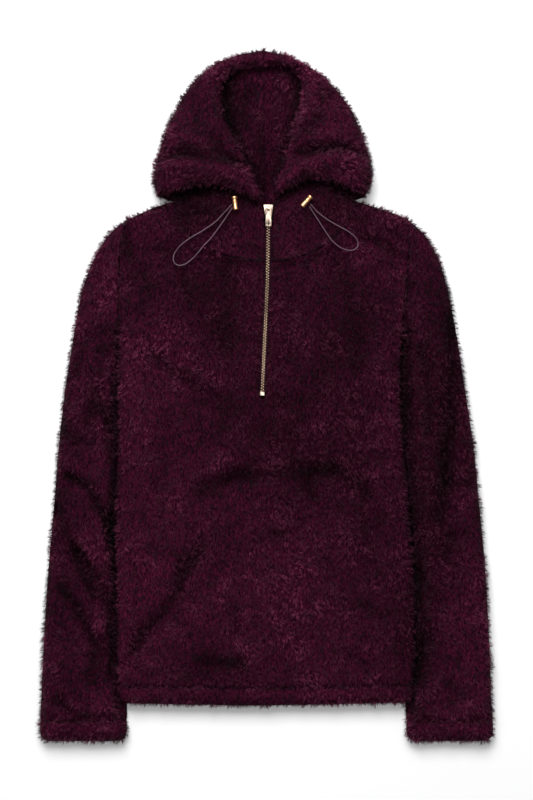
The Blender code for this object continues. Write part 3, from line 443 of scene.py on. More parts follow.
@dataclass(frozen=True)
class CordFinish(Finish):
    """The braided cover of the elastic cord."""

    colour: Colour = (0.062, 0.021, 0.040)

    def dress(self, graph: Graph, shader: Any) -> None:
        """Light yarns over gaps painted darker as shade, from the braid attribute.

        Args:
            graph: The material's graph.
            shader: Its Principled BSDF node.
        """
        # The low places between the yarns are painted dark: painted shade in the braid's gaps.
        stops = ((0.2, darker(self.colour, 0.35)), (0.75, self.colour))
        yarns = graph.ramp(graph.attribute("braid"), stops)
        graph.feed(shader, {"Base Color": yarns, "Roughness": 0.5, "Sheen Weight": 0.1})


@dataclass(frozen=True)
class PaperFinish(Finish):
    """The pale surface that the garment lies on."""

    colour: Colour = (0.71, 0.71, 0.714)

    def dress(self, graph: Graph, shader: Any) -> None:
        """Plain, with a trace of tooth.

        Args:
            graph: The material's graph.
            shader: Its Principled BSDF node.
        """
        grain = graph.add("ShaderNodeTexNoise", {"Vector": graph.place(), "Scale": 900.0}).outputs["Fac"]
        bump = graph.add("ShaderNodeBump", {"Height": grain, "Strength": 0.05, "Distance": 0.0002})
        graph.feed(shader, {
            "Base Color": (*self.colour, 1.0), "Normal": bump.outputs[0], "Roughness": 0.9})


PILE = PileFinish("fleece_pile")
BACKING = BackingFinish("fleece_backing")
BRASS = MetalFinish("light_gold_brass", colour=(0.47, 0.37, 0.29))
TEETH = MetalFinish("antique_gold_teeth", colour=(0.56, 0.38, 0.27), roughness=0.3, wear_scale=17.0,
                    worn_tone=0.3)
COPPER = MetalFinish("polished_copper", colour=(0.80, 0.42, 0.20), roughness=0.36)
TAPE = TapeFinish("zip_tape_weave")
CORD = CordFinish("cord_braid")
PAPER = PaperFinish("pale_surface")


# Fleece


@dataclass(frozen=True)
class LockShape:
    """One lock of pile: a few tapering fibres that start apart and lean together."""

    fibres: int = 7
    length: float = 8.0 * MM
    radius: float = 0.36 * MM
    spread: float = 2.2 * MM
    lean: float = 1.0
    root_depth: float = 1.6 * MM
    widest: float = 0.40
    length_limits: tuple[float, float] = (0.7, 1.15)
    lean_limits: tuple[float, float] = (0.7, 1.2)
    most_sway: float = 0.6
    gather: float = 0.22
    curl: float = 0.80
    rise: float = 0.95
    droop: float = 0.40
    sides: int = 3
    variants: int = 7
    seed: int = 11

    def fibre(self, bm: bmesh.types.BMesh, tip_layer: Any, rng: random.Random) -> None:
        """Adds one fibre, as a ring round a bent line with a point at each end.

        Args:
            bm: The bmesh of the lock.
            tip_layer: The layer that holds how far along the fibre a point is.
            rng: The lock's own random numbers.
        """
        angle = rng.uniform(0.0, 2.0 * math.pi)
        reach = self.spread * math.sqrt(rng.random())
        root = Vector((math.cos(angle) * reach, math.sin(angle) * reach, -self.root_depth))
        length = self.length * rng.uniform(*self.length_limits)
        lean = self.lean * rng.uniform(*self.lean_limits)
        sway = rng.uniform(-self.most_sway, self.most_sway)
        turn = rng.uniform(0.0, math.pi)
        centre = self.bent(root, length, lean, sway, self.widest)
        ring = []
        for side in range(self.sides):
            around = turn + 2.0 * math.pi * side / self.sides
            vert = bm.verts.new(centre + Vector((math.cos(around), math.sin(around), 0.0)) * self.radius)
            vert[tip_layer] = self.widest
            ring.append(vert)
        ends = []
        for share in (0.0, 1.0):
            end = bm.verts.new(self.bent(root, length, lean, sway, share))
            end[tip_layer] = share
            ends.append(end)
        for side in range(self.sides):
            following = (side + 1) % self.sides
            bm.faces.new([ring[following], ring[side], ends[0]])
            bm.faces.new([ring[side], ring[following], ends[1]])

    def bent(self, root: Vector, length: float, lean: float, sway: float, share: float) -> Vector:
        """A point along a fibre that curls over towards local +X.

        Args:
            root: The fibre's lower end.
            length: The fibre's length.
            lean: How far it leans over.
            sway: How far it goes to the side.
            share: How far along the fibre the point is, from 0 to 1.

        Returns:
            The point.
        """
        gather = -self.gather * share
        return root + Vector((
            length * lean * self.curl * share**1.4 + root.x * gather,
            length * sway * 0.5 * share * share + root.y * gather,
            length * share * (self.rise - self.droop * lean * share),
        ))

    def collection(self) -> bpy.types.Collection:
        """The lock's variants, in a collection that the scene doesn't show.

        Returns:
            The collection.
        """
        holder = bpy.data.collections.new("pile_locks")
        for number in range(self.variants):
            rng = random.Random(self.seed + number)
            bm = bmesh.new()
            tip_layer = bm.verts.layers.float.new("tip")
            for _ in range(self.fibres):
                self.fibre(bm, tip_layer, rng)
            bmesh.ops.recalc_face_normals(bm, faces=bm.faces[:])
            holder.objects.link(bpy.data.objects.new(f"lock_{number}", mesh_from(bm, f"lock_{number}")))
        return holder


@dataclass
class PileTree:
    """Geometry Nodes that plant locks of pile on a shell, by its pile, comb and reach attributes."""

    locks: bpy.types.Collection
    tree: Any = field(init=False)
    sockets: dict[str, str] = field(init=False, default_factory=dict)

    STAND_TILT = 0.6
    LEAST_HEIGHT = 0.4 * MM
    SHADE_SEED = 7
    INPUTS = (
        ("Shell", "NodeSocketGeometry", None), ("Spacing", "NodeSocketFloat", 0.0032),
        ("Density", "NodeSocketFloat", 130000.0), ("Least Size", "NodeSocketFloat", 0.7),
        ("Greatest Size", "NodeSocketFloat", 1.2), ("Tilt", "NodeSocketFloat", 0.5),
        ("Lowest Y", "NodeSocketFloat", -1.0), ("Highest Y", "NodeSocketFloat", 1.0),
        ("Seed", "NodeSocketInt", 1), ("Locks", "NodeSocketCollection", None),
        ("Finish", "NodeSocketMaterial", None),
    )

    def __post_init__(self) -> None:
        """Builds the tree and keeps its sockets' identifiers."""
        self.tree = bpy.data.node_groups.new("plant_pile", "GeometryNodeTree")
        for name, kind, default in self.INPUTS:
            socket = self.tree.interface.new_socket(name, in_out="INPUT", socket_type=kind)
            if default is not None:
                socket.default_value = default
            self.sockets[name] = socket.identifier
        self.tree.interface.new_socket("Pile", in_out="OUTPUT", socket_type="NodeSocketGeometry")
        self.build(Graph(self.tree))

    @staticmethod
    def attribute(graph: Graph, name: str, kind: str) -> Any:
        """The output of a Named Attribute node."""
        node = graph.add("GeometryNodeInputNamedAttribute", {"Name": name}, data_type=kind)
        return node.outputs["Attribute"]

    def build(self, graph: Graph) -> None:
        """Lays out the nodes: points, their turn and size, locks, and a floor that none goes under.

        Args:
            graph: The tree's graph.
        """
        given = graph.add("NodeGroupInput").outputs
        points = self.points(graph, given)
        kinds = graph.add("GeometryNodeCollectionInfo", {
            "Collection": given["Locks"], "Separate Children": True, "Reset Children": True})
        size = graph.add("FunctionNodeRandomValue", {
            "Min": given["Least Size"], "Max": given["Greatest Size"], "Seed": given["Seed"],
        }, data_type="FLOAT")
        planted = graph.add("GeometryNodeInstanceOnPoints", {
            "Points": points.outputs["Points"], "Instance": kinds.outputs[0], "Pick Instance": True,
            "Rotation": self.turn(graph, given, points.outputs["Normal"]),
            "Scale": graph.maths("MULTIPLY", size.outputs[1], self.attribute(graph, "reach", "FLOAT")),
        })
        shade = graph.add("FunctionNodeRandomValue", {"Seed": self.SHADE_SEED}, data_type="FLOAT").outputs[1]
        shaded = graph.add("GeometryNodeStoreNamedAttribute", {
            "Geometry": planted.outputs[0], "Name": "shade", "Value": shade,
        }, data_type="FLOAT", domain="INSTANCE")
        real = graph.add("GeometryNodeRealizeInstances", {"Geometry": shaded.outputs[0]})
        split = self.position(graph)
        above = graph.maths("MAXIMUM", split["Z"], self.LEAST_HEIGHT)
        joined = graph.add("ShaderNodeCombineXYZ", {"X": split["X"], "Y": split["Y"], "Z": above}).outputs[0]
        kept = graph.add("GeometryNodeSetPosition", {"Geometry": real.outputs[0], "Position": joined})
        finished = graph.add("GeometryNodeSetMaterial", {
            "Geometry": kept.outputs[0], "Material": given["Finish"]})
        graph.add("NodeGroupOutput", {0: finished.outputs[0]})

    @staticmethod
    def position(graph: Graph) -> Any:
        """The three parts of a point's position."""
        place = graph.add("GeometryNodeInputPosition").outputs[0]
        return graph.add("ShaderNodeSeparateXYZ", {0: place}).outputs

    def points(self, graph: Graph, given: Any) -> Any:
        """Points on the shell, where it grows pile and between two heights.

        Args:
            graph: The tree's graph.
            given: The tree's inputs.

        Returns:
            The node that makes the points.
        """
        height = self.position(graph)["Y"]
        above_low = graph.maths("GREATER_THAN", height, given["Lowest Y"])
        below_high = graph.maths("LESS_THAN", height, given["Highest Y"])
        within = graph.maths("MULTIPLY", above_low, below_high)
        grown = self.attribute(graph, "pile", "FLOAT")
        outward = self.attribute(graph, "grows", "FLOAT")
        return graph.add("GeometryNodeDistributePointsOnFaces", {
            "Mesh": given["Shell"], "Distance Min": given["Spacing"], "Density Max": given["Density"],
            "Density Factor": graph.maths("MULTIPLY", graph.maths("MULTIPLY", grown, outward), within),
            "Seed": given["Seed"],
        }, distribute_method="POISSON")

    def turn(self, graph: Graph, given: Any, normal: Any) -> Any:
        """How a lock stands: off the shell, combed, leaning out at open sides, and a little loose.

        Args:
            graph: The tree's graph.
            given: The tree's inputs.
            normal: The socket of the shell's normal.

        Returns:
            The socket of the rotation.
        """
        upright = graph.add("FunctionNodeAlignRotationToVector", {"Vector": normal}, axis="Z")
        combed = graph.add("FunctionNodeAlignRotationToVector", {
            "Rotation": upright.outputs[0], "Vector": self.attribute(graph, "comb", "FLOAT_VECTOR"),
        }, axis="X", pivot_axis="Z")
        loose = graph.add("FunctionNodeRandomValue", {
            "Min": (-1.0, -1.0, -1.0), "Max": (1.0, 1.0, 1.0), "Seed": given["Seed"],
        }, data_type="FLOAT_VECTOR").outputs[0]
        wobble = graph.add("ShaderNodeVectorMath", {0: loose, "Scale": given["Tilt"]}, operation="SCALE")
        stand = graph.maths("MULTIPLY", self.attribute(graph, "stand", "FLOAT"), -self.STAND_TILT)
        raised = graph.add("ShaderNodeCombineXYZ", {"Y": stand})
        both = graph.add("ShaderNodeVectorMath", {
            0: wobble.outputs[0], 1: raised.outputs[0]}, operation="ADD")
        angles = graph.add("FunctionNodeEulerToRotation", {0: both.outputs[0]})
        return graph.add("FunctionNodeRotateRotation", {
            "Rotation": combed.outputs[0], "Rotate By": angles.outputs[0],
        }, rotation_space="LOCAL").outputs[0]

    def plant(self, shell: bpy.types.Object, name: str, seed: int, **values: Any) -> bpy.types.Object:
        """Grows the pile of one shell as a piece of its own.

        Args:
            shell: The shell with its attributes.
            name: The new piece's name.
            seed: The seed of what is random.
            values: Named inputs that differ from the tree's own.

        Returns:
            The pile, as a plain mesh object.
        """
        piece = add_object(name, shell.data.copy())
        modifier = piece.modifiers.new("pile", "NODES")
        modifier.node_group = self.tree
        given = {"Seed": seed, "Locks": self.locks, "Finish": PILE.material(), **values}
        for key, value in given.items():
            modifier[self.sockets[key]] = value
        bake_modifiers(piece)
        piece.data.shade_smooth()
        return piece


CLOTH_NODES = (
    "back_panel", "front_panel", "sleeve_left", "sleeve_right", "hood_back_left", "hood_back_right",
    "hood_left", "hood_right", "neck_left", "neck_right",
)
ZIPPED_NODES = ("front_panel", "neck_left", "neck_right")
HOOD_SEAM_X = -4.0 * MM
FACE_MIDDLE_Y = 0.36
UP = Vector((0.0, 0.0, 1.0))
DRIFT_OFFSETS = (Vector((9.321, -1.531, -7.951)), Vector(), Vector((6.327, 0.1671, -2.672)))
ZIP_ROUTE = (
    (-6.2, -20.0), (-5.9, 3.0), (-4.2, 43.0), (-1.4, 99.0), (1.4, 162.0), (2.5, 235.0), (2.8, 273.0),
)


def zip_x(y: float) -> float:
    """Where the zip's middle is at a height on the front, both in metres."""
    across, heights = zip(*ZIP_ROUTE)
    return float(np.interp(y / MM, heights, across)) * MM


def drift(point: Vector) -> Vector:
    """Smooth noise with three parts from -1 to 1, which is the same each run."""
    return Vector([noise.noise(point + offset) for offset in DRIFT_OFFSETS])


def solid_tree(nodes: Iterable[str]) -> BVHTree:
    """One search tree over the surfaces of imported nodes.

    Args:
        nodes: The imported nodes.

    Returns:
        The tree.
    """
    points: list[Vector] = []
    faces: list[tuple[int, ...]] = []
    for node in nodes:
        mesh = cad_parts[node].data
        start = len(points)
        points += [vertex.co.copy() for vertex in mesh.vertices]
        faces += [tuple(start + i for i in polygon.vertices) for polygon in mesh.polygons]
    return BVHTree.FromPolygons(points, faces)


@dataclass
class Surroundings:
    """What lies round one piece of cloth, for finding how open and how lit a place is."""

    node: str
    others: BVHTree = field(init=False)
    everything: BVHTree = field(init=False)
    reach: float = 0.055
    lift: float = 1.6 * MM
    softness: float = 0.25
    least_facing: float = 0.15

    def __post_init__(self) -> None:
        """Gathers the other pieces, and all of them, into two trees."""
        self.others = solid_tree(other for other in CLOTH_NODES if other != self.node)
        self.everything = solid_tree(CLOTH_NODES)

    def clearance(self, point: Vector, direction: Vector) -> float:
        """How far one can go from a point before meeting another piece.

        Args:
            point: Where to start.
            direction: A unit vector.

        Returns:
            The distance, 0 inside another piece, or 1 metre where nothing is met.
        """
        hit, normal, _, distance = self.others.ray_cast(point, direction)
        if hit is None:
            return 1.0
        return 0.0 if normal.dot(direction) > 0.0 else distance

    def openness(self, point: Vector, normal: Vector) -> float:
        """The share of the sky that a place sees, with more weight towards the main light.

        Args:
            point: A place on the cloth.
            normal: Its unit normal.

        Returns:
            A number from 0 to 1.
        """
        start = point + normal * self.lift
        seen = 0.0
        total = 0.0
        for direction, weight in SKY:
            facing = weight * max(self.least_facing, normal.dot(direction) + self.softness)
            total += facing
            if self.everything.ray_cast(start, direction, self.reach)[0] is None:
                seen += facing
        return seen / total


def sky_directions() -> list[tuple[Vector, float]]:
    """Directions over the upper half space, the heaviest near the main light.

    Returns:
        Each direction with its weight.
    """
    towards_light = Vector((-0.35, 0.55, 0.75)).normalized()
    found = []
    for elevation, count in ((16.0, 7), (42.0, 6), (72.0, 3)):
        for number in range(count):
            turn = 2.0 * math.pi * (number + elevation / 90.0) / count
            level = math.cos(math.radians(elevation))
            height = math.sin(math.radians(elevation))
            direction = Vector((level * math.cos(turn), level * math.sin(turn), height))
            found.append((direction, 0.35 + max(0.0, direction.dot(towards_light)) ** 2))
    return found


SKY = sky_directions()


@dataclass(frozen=True)
class Crease:
    """A soft trough in the cloth along a line, given in millimetres, with a low swell on both sides.

    A trough of negative depth is a ridge. Its line wanders by up to wander, and one that doesn't is a seam.
    """

    line: tuple[tuple[float, float], ...]
    width: float = 9.0
    depth: float = 3.5
    wander: float = 5.0

    SWELL = 0.32
    SWELL_AT = 2.0
    # A trough is painted darker, as painted shade, by so much for each millimetre of its depth.
    SHADE_PER_MM = 0.15
    MOST_SHADE = 0.88
    LEAST_SHADED = -0.6

    def nearness(self, x: float, y: float) -> float:
        """How near a place is to the trough's line.

        Args:
            x: The place in millimetres.
            y: The same, up the front.

        Returns:
            The distance in widths of the trough.
        """
        nearest = math.inf
        for (x0, y0), (x1, y1) in zip(self.line, self.line[1:]):
            along_x, along_y = x1 - x0, y1 - y0
            share = ((x - x0) * along_x + (y - y0) * along_y) / (along_x**2 + along_y**2)
            share = min(max(share, 0.0), 1.0)
            nearest = min(nearest, math.hypot(x - x0 - share * along_x, y - y0 - share * along_y))
        return nearest / self.width

    def rise(self, trough: float, swell: float) -> float:
        """How far the cloth rises, in metres, where the trough and its swell have these shares."""
        return self.depth * MM * (self.SWELL * swell - trough)

    def shade(self, trough: float) -> float:
        """How bright the trough's painted shade leaves the pile, 1 for as it is; a ridge is painted lighter.
        """
        darkest = min(self.MOST_SHADE, self.SHADE_PER_MM * max(self.depth, self.LEAST_SHADED))
        return 1.0 - darkest * min(1.0, trough)


NECKLINE = Crease((
    (-130, 273), (-120, 240), (-92, 212), (-50, 194), (0, 187), (47, 194), (86, 213), (113, 241), (122, 275),
), 6.0, -4.6, 0.0)
LEFT_ARMHOLE = Crease(((-208, 80), (-208, 134), (-206.5, 190), (-203, 225), (-195.5, 249)), 7.0, -4.6, 0.0)
RIGHT_ARMHOLE = Crease(((190, 80), (194, 134), (199.5, 188), (200.5, 225), (196.5, 250)), 7.0, -4.6, 0.0)
NECK_SHADOW = (
    Crease(((-138, 276), (-107, 288), (-79, 290), (-54, 285), (-31, 277), (-14, 270)), 13.0, 4.6),
    Crease(((128, 276), (104, 291), (80, 298), (57, 297), (36, 290), (18, 278)), 13.0, 4.6),
    Crease(((-118, 262), (-88, 262)), 16.0, 2.6),
)
# Troughs along the inside of the hood's rims, painted darker as the shade that falls there; the ridge under
# the top rim is painted lighter.
HOOD_BACK_CREASES = (
    Crease(((-52, 450), (-61, 428), (-60, 404), (-52, 378), (-40, 350), (-26, 322), (-10, 292)), 12.0, 4.4),
    Crease(((43, 444), (47, 424), (42, 398), (34, 372), (24, 342), (12, 300)), 9.0, 3.2),
    Crease(((-4, 300), (-4, 345)), 12.0, 3.2),
    Crease(((-42, 440), (-22, 452), (8, 455), (32, 444)), 14.0, -4.5),
    Crease(((-22, 430), (-34, 404), (-26, 380)), 10.0, 2.4),
    Crease(((14, 436), (24, 410)), 9.0, 2.0),
)
FRONT_CREASES = (
    NECKLINE,
    LEFT_ARMHOLE,
    RIGHT_ARMHOLE,
    # A trough along the body's right edge, painted dark as the shade in the gap beside it.
    Crease(((203, 60), (196, -6), (202, -99), (208, -192)), 7.0, 4.0),
    Crease(((-92, -133), (-41, -113), (1, -109), (88, -105), (123, -118), (141, -139)), 11.0, 4.6),
    Crease(((58, -126), (66, -140)), 10.0, 3.5),
    Crease(((-160, 56), (-130, 36), (-92, 10), (-52, 0)), 9.0, 3.0),
    Crease(((-93, -12), (-20, -18), (52, -9)), 9.0, 2.4),
    Crease(((-16, -209), (20, -197)), 9.0, 3.0),
    Crease(((-88, -205), (-113, -237), (-135, -295), (-176, -340), (-182, -357)), 12.0, 5.0),
    Crease(((-86, -374), (-34, -379)), 11.0, 4.0),
    Crease(((-51, -300), (-41, -330)), 8.0, 3.0),
    Crease(((124, -362), (141, -387)), 9.0, 3.2),
    Crease(((146, -296), (160, -310)), 10.0, 3.6),
    Crease(((132, 222), (165, 214), (180, 204)), 8.0, 3.4),
    Crease(((138, 243), (170, 233), (190, 222)), 8.0, 3.4),
    Crease(((-188, 236), (-195, 200), (-186, 170)), 10.0, 3.2),
    Crease(((-150, 205), (-120, 175), (-110, 120)), 12.0, 2.6),
    Crease(((98, 190), (120, 120), (126, 40)), 13.0, 2.4),
    Crease(((-140, -40), (-150, -120)), 14.0, 2.6),
    Crease(((20, -60), (60, -20), (90, 60)), 16.0, 2.6),
    Crease(((-60, 190), (-40, 130), (-60, 70)), 14.0, 2.2),
)
LEFT_SLEEVE_CREASES = (
    LEFT_ARMHOLE,
    Crease(((-278, -112), (-250, -128), (-226, -168), (-216, -205)), 8.0, 5.5),
    Crease(((-300, -150), (-276, -196), (-255, -250), (-240, -282)), 8.0, 5.0),
    Crease(((-290, -270), (-266, -298), (-242, -338)), 9.0, 4.6),
    Crease(((-262, -214), (-238, -252), (-222, -300)), 7.0, 4.0),
    Crease(((-233, -20), (-216, -48)), 8.0, 5.0),
    Crease(((-300, -40), (-270, -62), (-246, -64)), 8.0, 4.0),
    Crease(((-296, -426), (-268, -449), (-198, -453)), 7.0, 4.0),
    Crease(((-222, 80), (-236, 20), (-250, -40)), 11.0, 4.0),
    Crease(((-270, 30), (-252, 74), (-226, 96)), 8.0, 4.2),
    Crease(((-236, -350), (-240, -400)), 11.0, 4.0),
    # A deep trough beside the body's left edge, painted dark as the shade in the gap there.
    Crease(((-215, 30), (-217, -60), (-216, -180), (-219, -300), (-218, -400)), 7.0, 6.5),
)
RIGHT_SLEEVE_CREASES = (
    RIGHT_ARMHOLE,
    Crease(((262, 106), (258, -34), (252, -104), (240, -174)), 13.0, 6.0),
    Crease(((214, 60), (228, 10), (224, -50)), 8.0, 4.4),
    Crease(((300, -112), (276, -124), (250, -118)), 7.0, 4.6),
    Crease(((260, -202), (254, -224)), 12.0, 4.5),
    Crease(((222, -335), (212, -377)), 11.0, 4.5),
    Crease(((257, -404), (281, -426)), 9.0, 4.4),
    # A deep trough beside the body's right edge, painted dark as the shade in the gap there.
    Crease(((192, 150), (193, 106), (197, -6), (200, -76), (210, -174), (214, -286), (213, -400)), 9.0, 8.0),
)
LEFT_HOOD_CREASES = (
    Crease(((-158, 333), (-125, 337), (-75, 334), (-36, 322)), 7.0, 6.0),
    Crease(((-152, 312), (-125, 318), (-75, 316), (-40, 303), (-18, 284)), 11.0, -4.0),
    Crease(((-98, 372), (-94, 400), (-104, 424)), 10.0, 3.6),
    Crease(((-72, 360), (-60, 342)), 8.0, 3.0),
)
RIGHT_HOOD_CREASES = (
    Crease(((40, 338), (98, 348), (136, 336)), 7.0, 6.0),
    Crease(((16, 292), (46, 320), (98, 330), (140, 314)), 11.0, -4.0),
    Crease(((60, 372), (78, 395), (84, 430)), 10.0, 3.4),
    Crease(((30, 352), (52, 366)), 8.0, 3.0),
)


@dataclass(frozen=True)
class PaintedShadingOval:
    """A soft oval of painted shade, in millimetres, which paints light where its last number is over 1."""

    x: float
    y: float
    half_width: float
    half_height: float
    tone: float

    def at(self, point: Vector) -> float:
        """How bright the oval's painted shade and painted light leave a place.

        Args:
            point: A place on the cloth.

        Returns:
            A share of the brightness, 1 for as it is.
        """
        across = (point.x / MM - self.x) / self.half_width
        away = math.hypot(across, (point.y / MM - self.y) / self.half_height)
        return 1.0 + (self.tone - 1.0) * math.exp(-away * away)


# Ovals of painted shade, and of painted light where the last number is over 1.
PAINTED_SHADING_OVALS = (
    PaintedShadingOval(20.0, 70.0, 130.0, 170.0, 0.64),
    PaintedShadingOval(80.0, -90.0, 75.0, 60.0, 0.60),
    PaintedShadingOval(-85.0, 165.0, 45.0, 60.0, 0.65),
    PaintedShadingOval(-165.0, 165.0, 45.0, 60.0, 0.70),
    PaintedShadingOval(-80.0, -385.0, 60.0, 35.0, 0.68),
    PaintedShadingOval(255.0, 0.0, 60.0, 220.0, 0.55),
    PaintedShadingOval(226.0, -190.0, 26.0, 230.0, 0.62),
    PaintedShadingOval(-280.0, -120.0, 30.0, 330.0, 0.75),
    PaintedShadingOval(-88.0, 255.0, 62.0, 42.0, 0.47),
    PaintedShadingOval(97.0, 255.0, 62.0, 40.0, 0.52),
    PaintedShadingOval(10.0, 290.0, 45.0, 34.0, 1.45),
    PaintedShadingOval(-50.0, 405.0, 26.0, 50.0, 0.62),
    PaintedShadingOval(-5.0, 447.0, 42.0, 20.0, 1.5),
    PaintedShadingOval(8.0, 378.0, 44.0, 34.0, 0.70),
    PaintedShadingOval(142.0, 110.0, 58.0, 75.0, 0.60),
    PaintedShadingOval(140.0, -200.0, 48.0, 95.0, 0.62),
    PaintedShadingOval(-20.0, -50.0, 50.0, 40.0, 0.74),
    PaintedShadingOval(-70.0, 100.0, 30.0, 38.0, 0.62),
    PaintedShadingOval(122.0, -12.0, 34.0, 34.0, 0.70),
    PaintedShadingOval(28.0, -140.0, 30.0, 45.0, 0.72),
    PaintedShadingOval(198.0, -330.0, 34.0, 90.0, 0.56),
    PaintedShadingOval(-150.0, -265.0, 40.0, 42.0, 1.40),
    PaintedShadingOval(-228.0, -370.0, 26.0, 75.0, 1.30),
    PaintedShadingOval(280.0, -375.0, 26.0, 62.0, 1.30),
)


@dataclass
class Ground:
    """One point of a shell: where it goes, and how the pile grows on it."""

    start: Vector
    place: Vector
    push: Optional[Vector]
    pile: float
    reach: float
    # A share of the pile's colour: painted shade under 1, painted light over 1.
    tone: float
    stand: float
    comb: Vector


@dataclass
class ClothPiece:
    """One sewn piece: a thin shell of its solid's form, and the pile that grows on what shows of it.

    The shell lies deeper than the solid by sink on top and by side_sink at an open side, because the solid
    reaches as far as the pile does.
    """

    node: str
    flat: tuple[float, float]
    area: float
    rests_on: tuple[str, ...]
    seed: int
    comb: Comb = Comb.DOWN
    creases: tuple[Crease, ...] = ()
    bands: tuple[float, ...] = ()
    # How deep the shell lies, and how uneven it is
    sink: float = 4.4 * MM
    side_sink: float = 1.3 * MM
    most_drop: float = 0.55
    relief: float = 1.5 * MM
    relief_scale: float = 42.0
    # How fine it is, and which of its faces stay coarse or bare
    longest_edge: float = 6.5 * MM
    hidden_tilt: float = -0.6
    bare_tilt: float = -0.35
    # The slit that the zip closes, and the ridge over a seam
    zip_clear: float = 4.2 * MM
    zip_side: float = 12.0 * MM
    slit: tuple[float, float] = (-12.0 * MM, 274.0 * MM)
    seam_fill: float = 7.0 * MM
    seam_level: float = 25.0 * MM
    # How light the pile is painted: painted shade where little sky is seen, less so at open sides and seams
    least_light: float = 0.0
    side_light: float = 0.72
    seam_light: float = 0.85
    light_power: float = 1.8
    darkest: float = 0.06
    # How the pile lies, wanders and varies in length
    flat_thinning: float = 0.38
    side_lean: float = 1.6
    swirl_scale: float = 30.0
    swirl: float = 1.5
    curl_scale: float = 110.0
    curl: float = 0.8
    wander_scale: float = 26.0
    fade_scale: float = 17.0
    fade: tuple[float, float] = (0.85, 0.75)
    patch_scale: float = 55.0
    patch: float = 0.25
    side_short: float = 0.12
    zip_short: float = 0.28
    seam_long: float = 0.2
    # From where to where a place counts as steep, as facing up, as open and as lit
    steepness: tuple[float, float] = (0.15, 0.5)
    upwardness: tuple[float, float] = (0.05, 0.6)
    side_gap: tuple[float, float] = (3.0 * MM, 12.0 * MM)
    touch_gap: tuple[float, float] = (1.0 * MM, 4.0 * MM)
    top_gap: float = 5.0 * MM
    dim: tuple[float, float] = (0.05, 0.15)
    wall_fade: tuple[float, float] = (1.5 * MM, 15.0 * MM)
    seam_catch: float = 0.7 * MM
    seam_gap: float = 0.02 * MM

    def refined(self) -> bpy.types.Object:
        """The solid's form with points a few millimetres apart wherever it may be seen.

        Returns:
            The shell's object.
        """
        obj = add_object(f"{self.node}_cloth", merged_copy(self.node, f"{self.node}_cloth"))
        bm = bmesh.new()
        bm.from_mesh(obj.data)
        for _ in range(5):
            bm.normal_update()
            long_edges = [
                edge for edge in bm.edges
                if edge.calc_length() > self.longest_edge
                and any(face.normal.z > self.hidden_tilt for face in edge.link_faces)
            ]
            if not long_edges:
                break
            bmesh.ops.subdivide_edges(bm, edges=long_edges, cuts=1)
            bmesh.ops.triangulate(bm, faces=[face for face in bm.faces if len(face.verts) > 3])
        bm.to_mesh(obj.data)
        bm.free()
        return obj

    def near_zip(self, point: Vector) -> bool:
        """Whether a point is so near the zip that its pile is held back."""
        return abs(point.x - zip_x(point.y)) < self.zip_clear and point.y > -2.0 * MM

    def at_zip(self, point: Vector) -> bool:
        """Whether a point of the front is on the slit that the zip closes."""
        beside = abs(point.x - zip_x(point.y)) < self.zip_side
        return self.node in ZIPPED_NODES and beside and self.slit[0] < point.y < self.slit[1]

    def combed(self, point: Vector) -> Vector:
        """The way that the pile lies at a point, with swirls of a few centimetres.

        Args:
            point: A place on the cloth.

        Returns:
            A direction.
        """
        if self.comb is Comb.OUT_FROM_FACE:
            lie = Vector((point.x * 16.0, -0.55 + (point.y - FACE_MIDDLE_Y) * 6.0, 0.0))
        else:
            lie = Vector((point.x * 1.2, -1.0, 0.0))
        swirl = drift(point * self.swirl_scale + Vector((self.seed, 0.0, 0.0)))
        curl = drift(point * self.curl_scale)
        direction = lie.normalized() + self.swirl * swirl + self.curl * curl
        if self.at_zip(point):
            direction += Vector((2.2 * math.copysign(1.0, zip_x(point.y) - point.x), -0.6, 0.0))
        return direction

    def fold(self, point: Vector) -> tuple[float, float, float]:
        """The creases at a point.

        Args:
            point: A place on the cloth.

        Returns:
            How far the cloth rises there, how dark its painted shade gets, 1 for not at all, and how near it
            is to a seam.
        """
        rise = 0.0
        tone = 1.0
        seam = 0.0
        wander = drift(point * self.wander_scale)
        fade = self.fade[0] + self.fade[1] * noise.noise(point * self.fade_scale)
        for crease in self.creases:
            shift = wander * crease.wander
            away = crease.nearness(point.x / MM + shift.x, point.y / MM + shift.y)
            if away > 2.0 * Crease.SWELL_AT:
                continue
            trough = math.exp(-away * away)
            swell = math.exp(-((away - Crease.SWELL_AT) ** 2))
            if crease.wander:
                trough *= fade
                swell *= fade
            else:
                seam = max(seam, trough)
            rise += crease.rise(trough, swell)
            tone *= crease.shade(trough)
        return rise, tone, seam

    def ground(self, around: Surroundings, point: Vector, normal: Vector) -> Ground:
        """Where one point of the shell goes, and how the pile grows on it.

        Args:
            around: What lies round the piece.
            point: The point on the solid's surface.
            normal: The surface's unit normal there.

        Returns:
            The point's ground.
        """
        level = Vector((normal.x, normal.y, 0.0))
        steep = smoothstep(level.length, *self.steepness)
        if steep > 0.0:
            level.normalize()
        free = around.clearance(point + level * MM, level)
        beside = 1.0 - smoothstep(free, *self.touch_gap)
        side_open = 0.0 if self.at_zip(point) else steep * smoothstep(free, *self.side_gap)
        inner = point - level * 4.0 * MM * steep + UP * MM
        open_above = around.clearance(inner, UP) > self.top_gap
        top = smoothstep(normal.z, *self.upwardness) if open_above else 0.0
        side = side_open * (1.0 - top)
        sky = around.openness(point, normal if normal.z > self.hidden_tilt or not steep else level)
        rise, crease_painted_shade, seam = self.fold(point)
        rise = min(rise, self.sink)
        if seam > 0.1:
            rise = max(rise, seam * min(self.seam_fill, self.seam_level - point.z))
        swell = self.swell(point)
        drop = max((rise + swell - self.sink) * top, -self.most_drop * point.z)
        growth = max(self.growth(point, normal, side_open, top), beside * steep * top, seam * top)
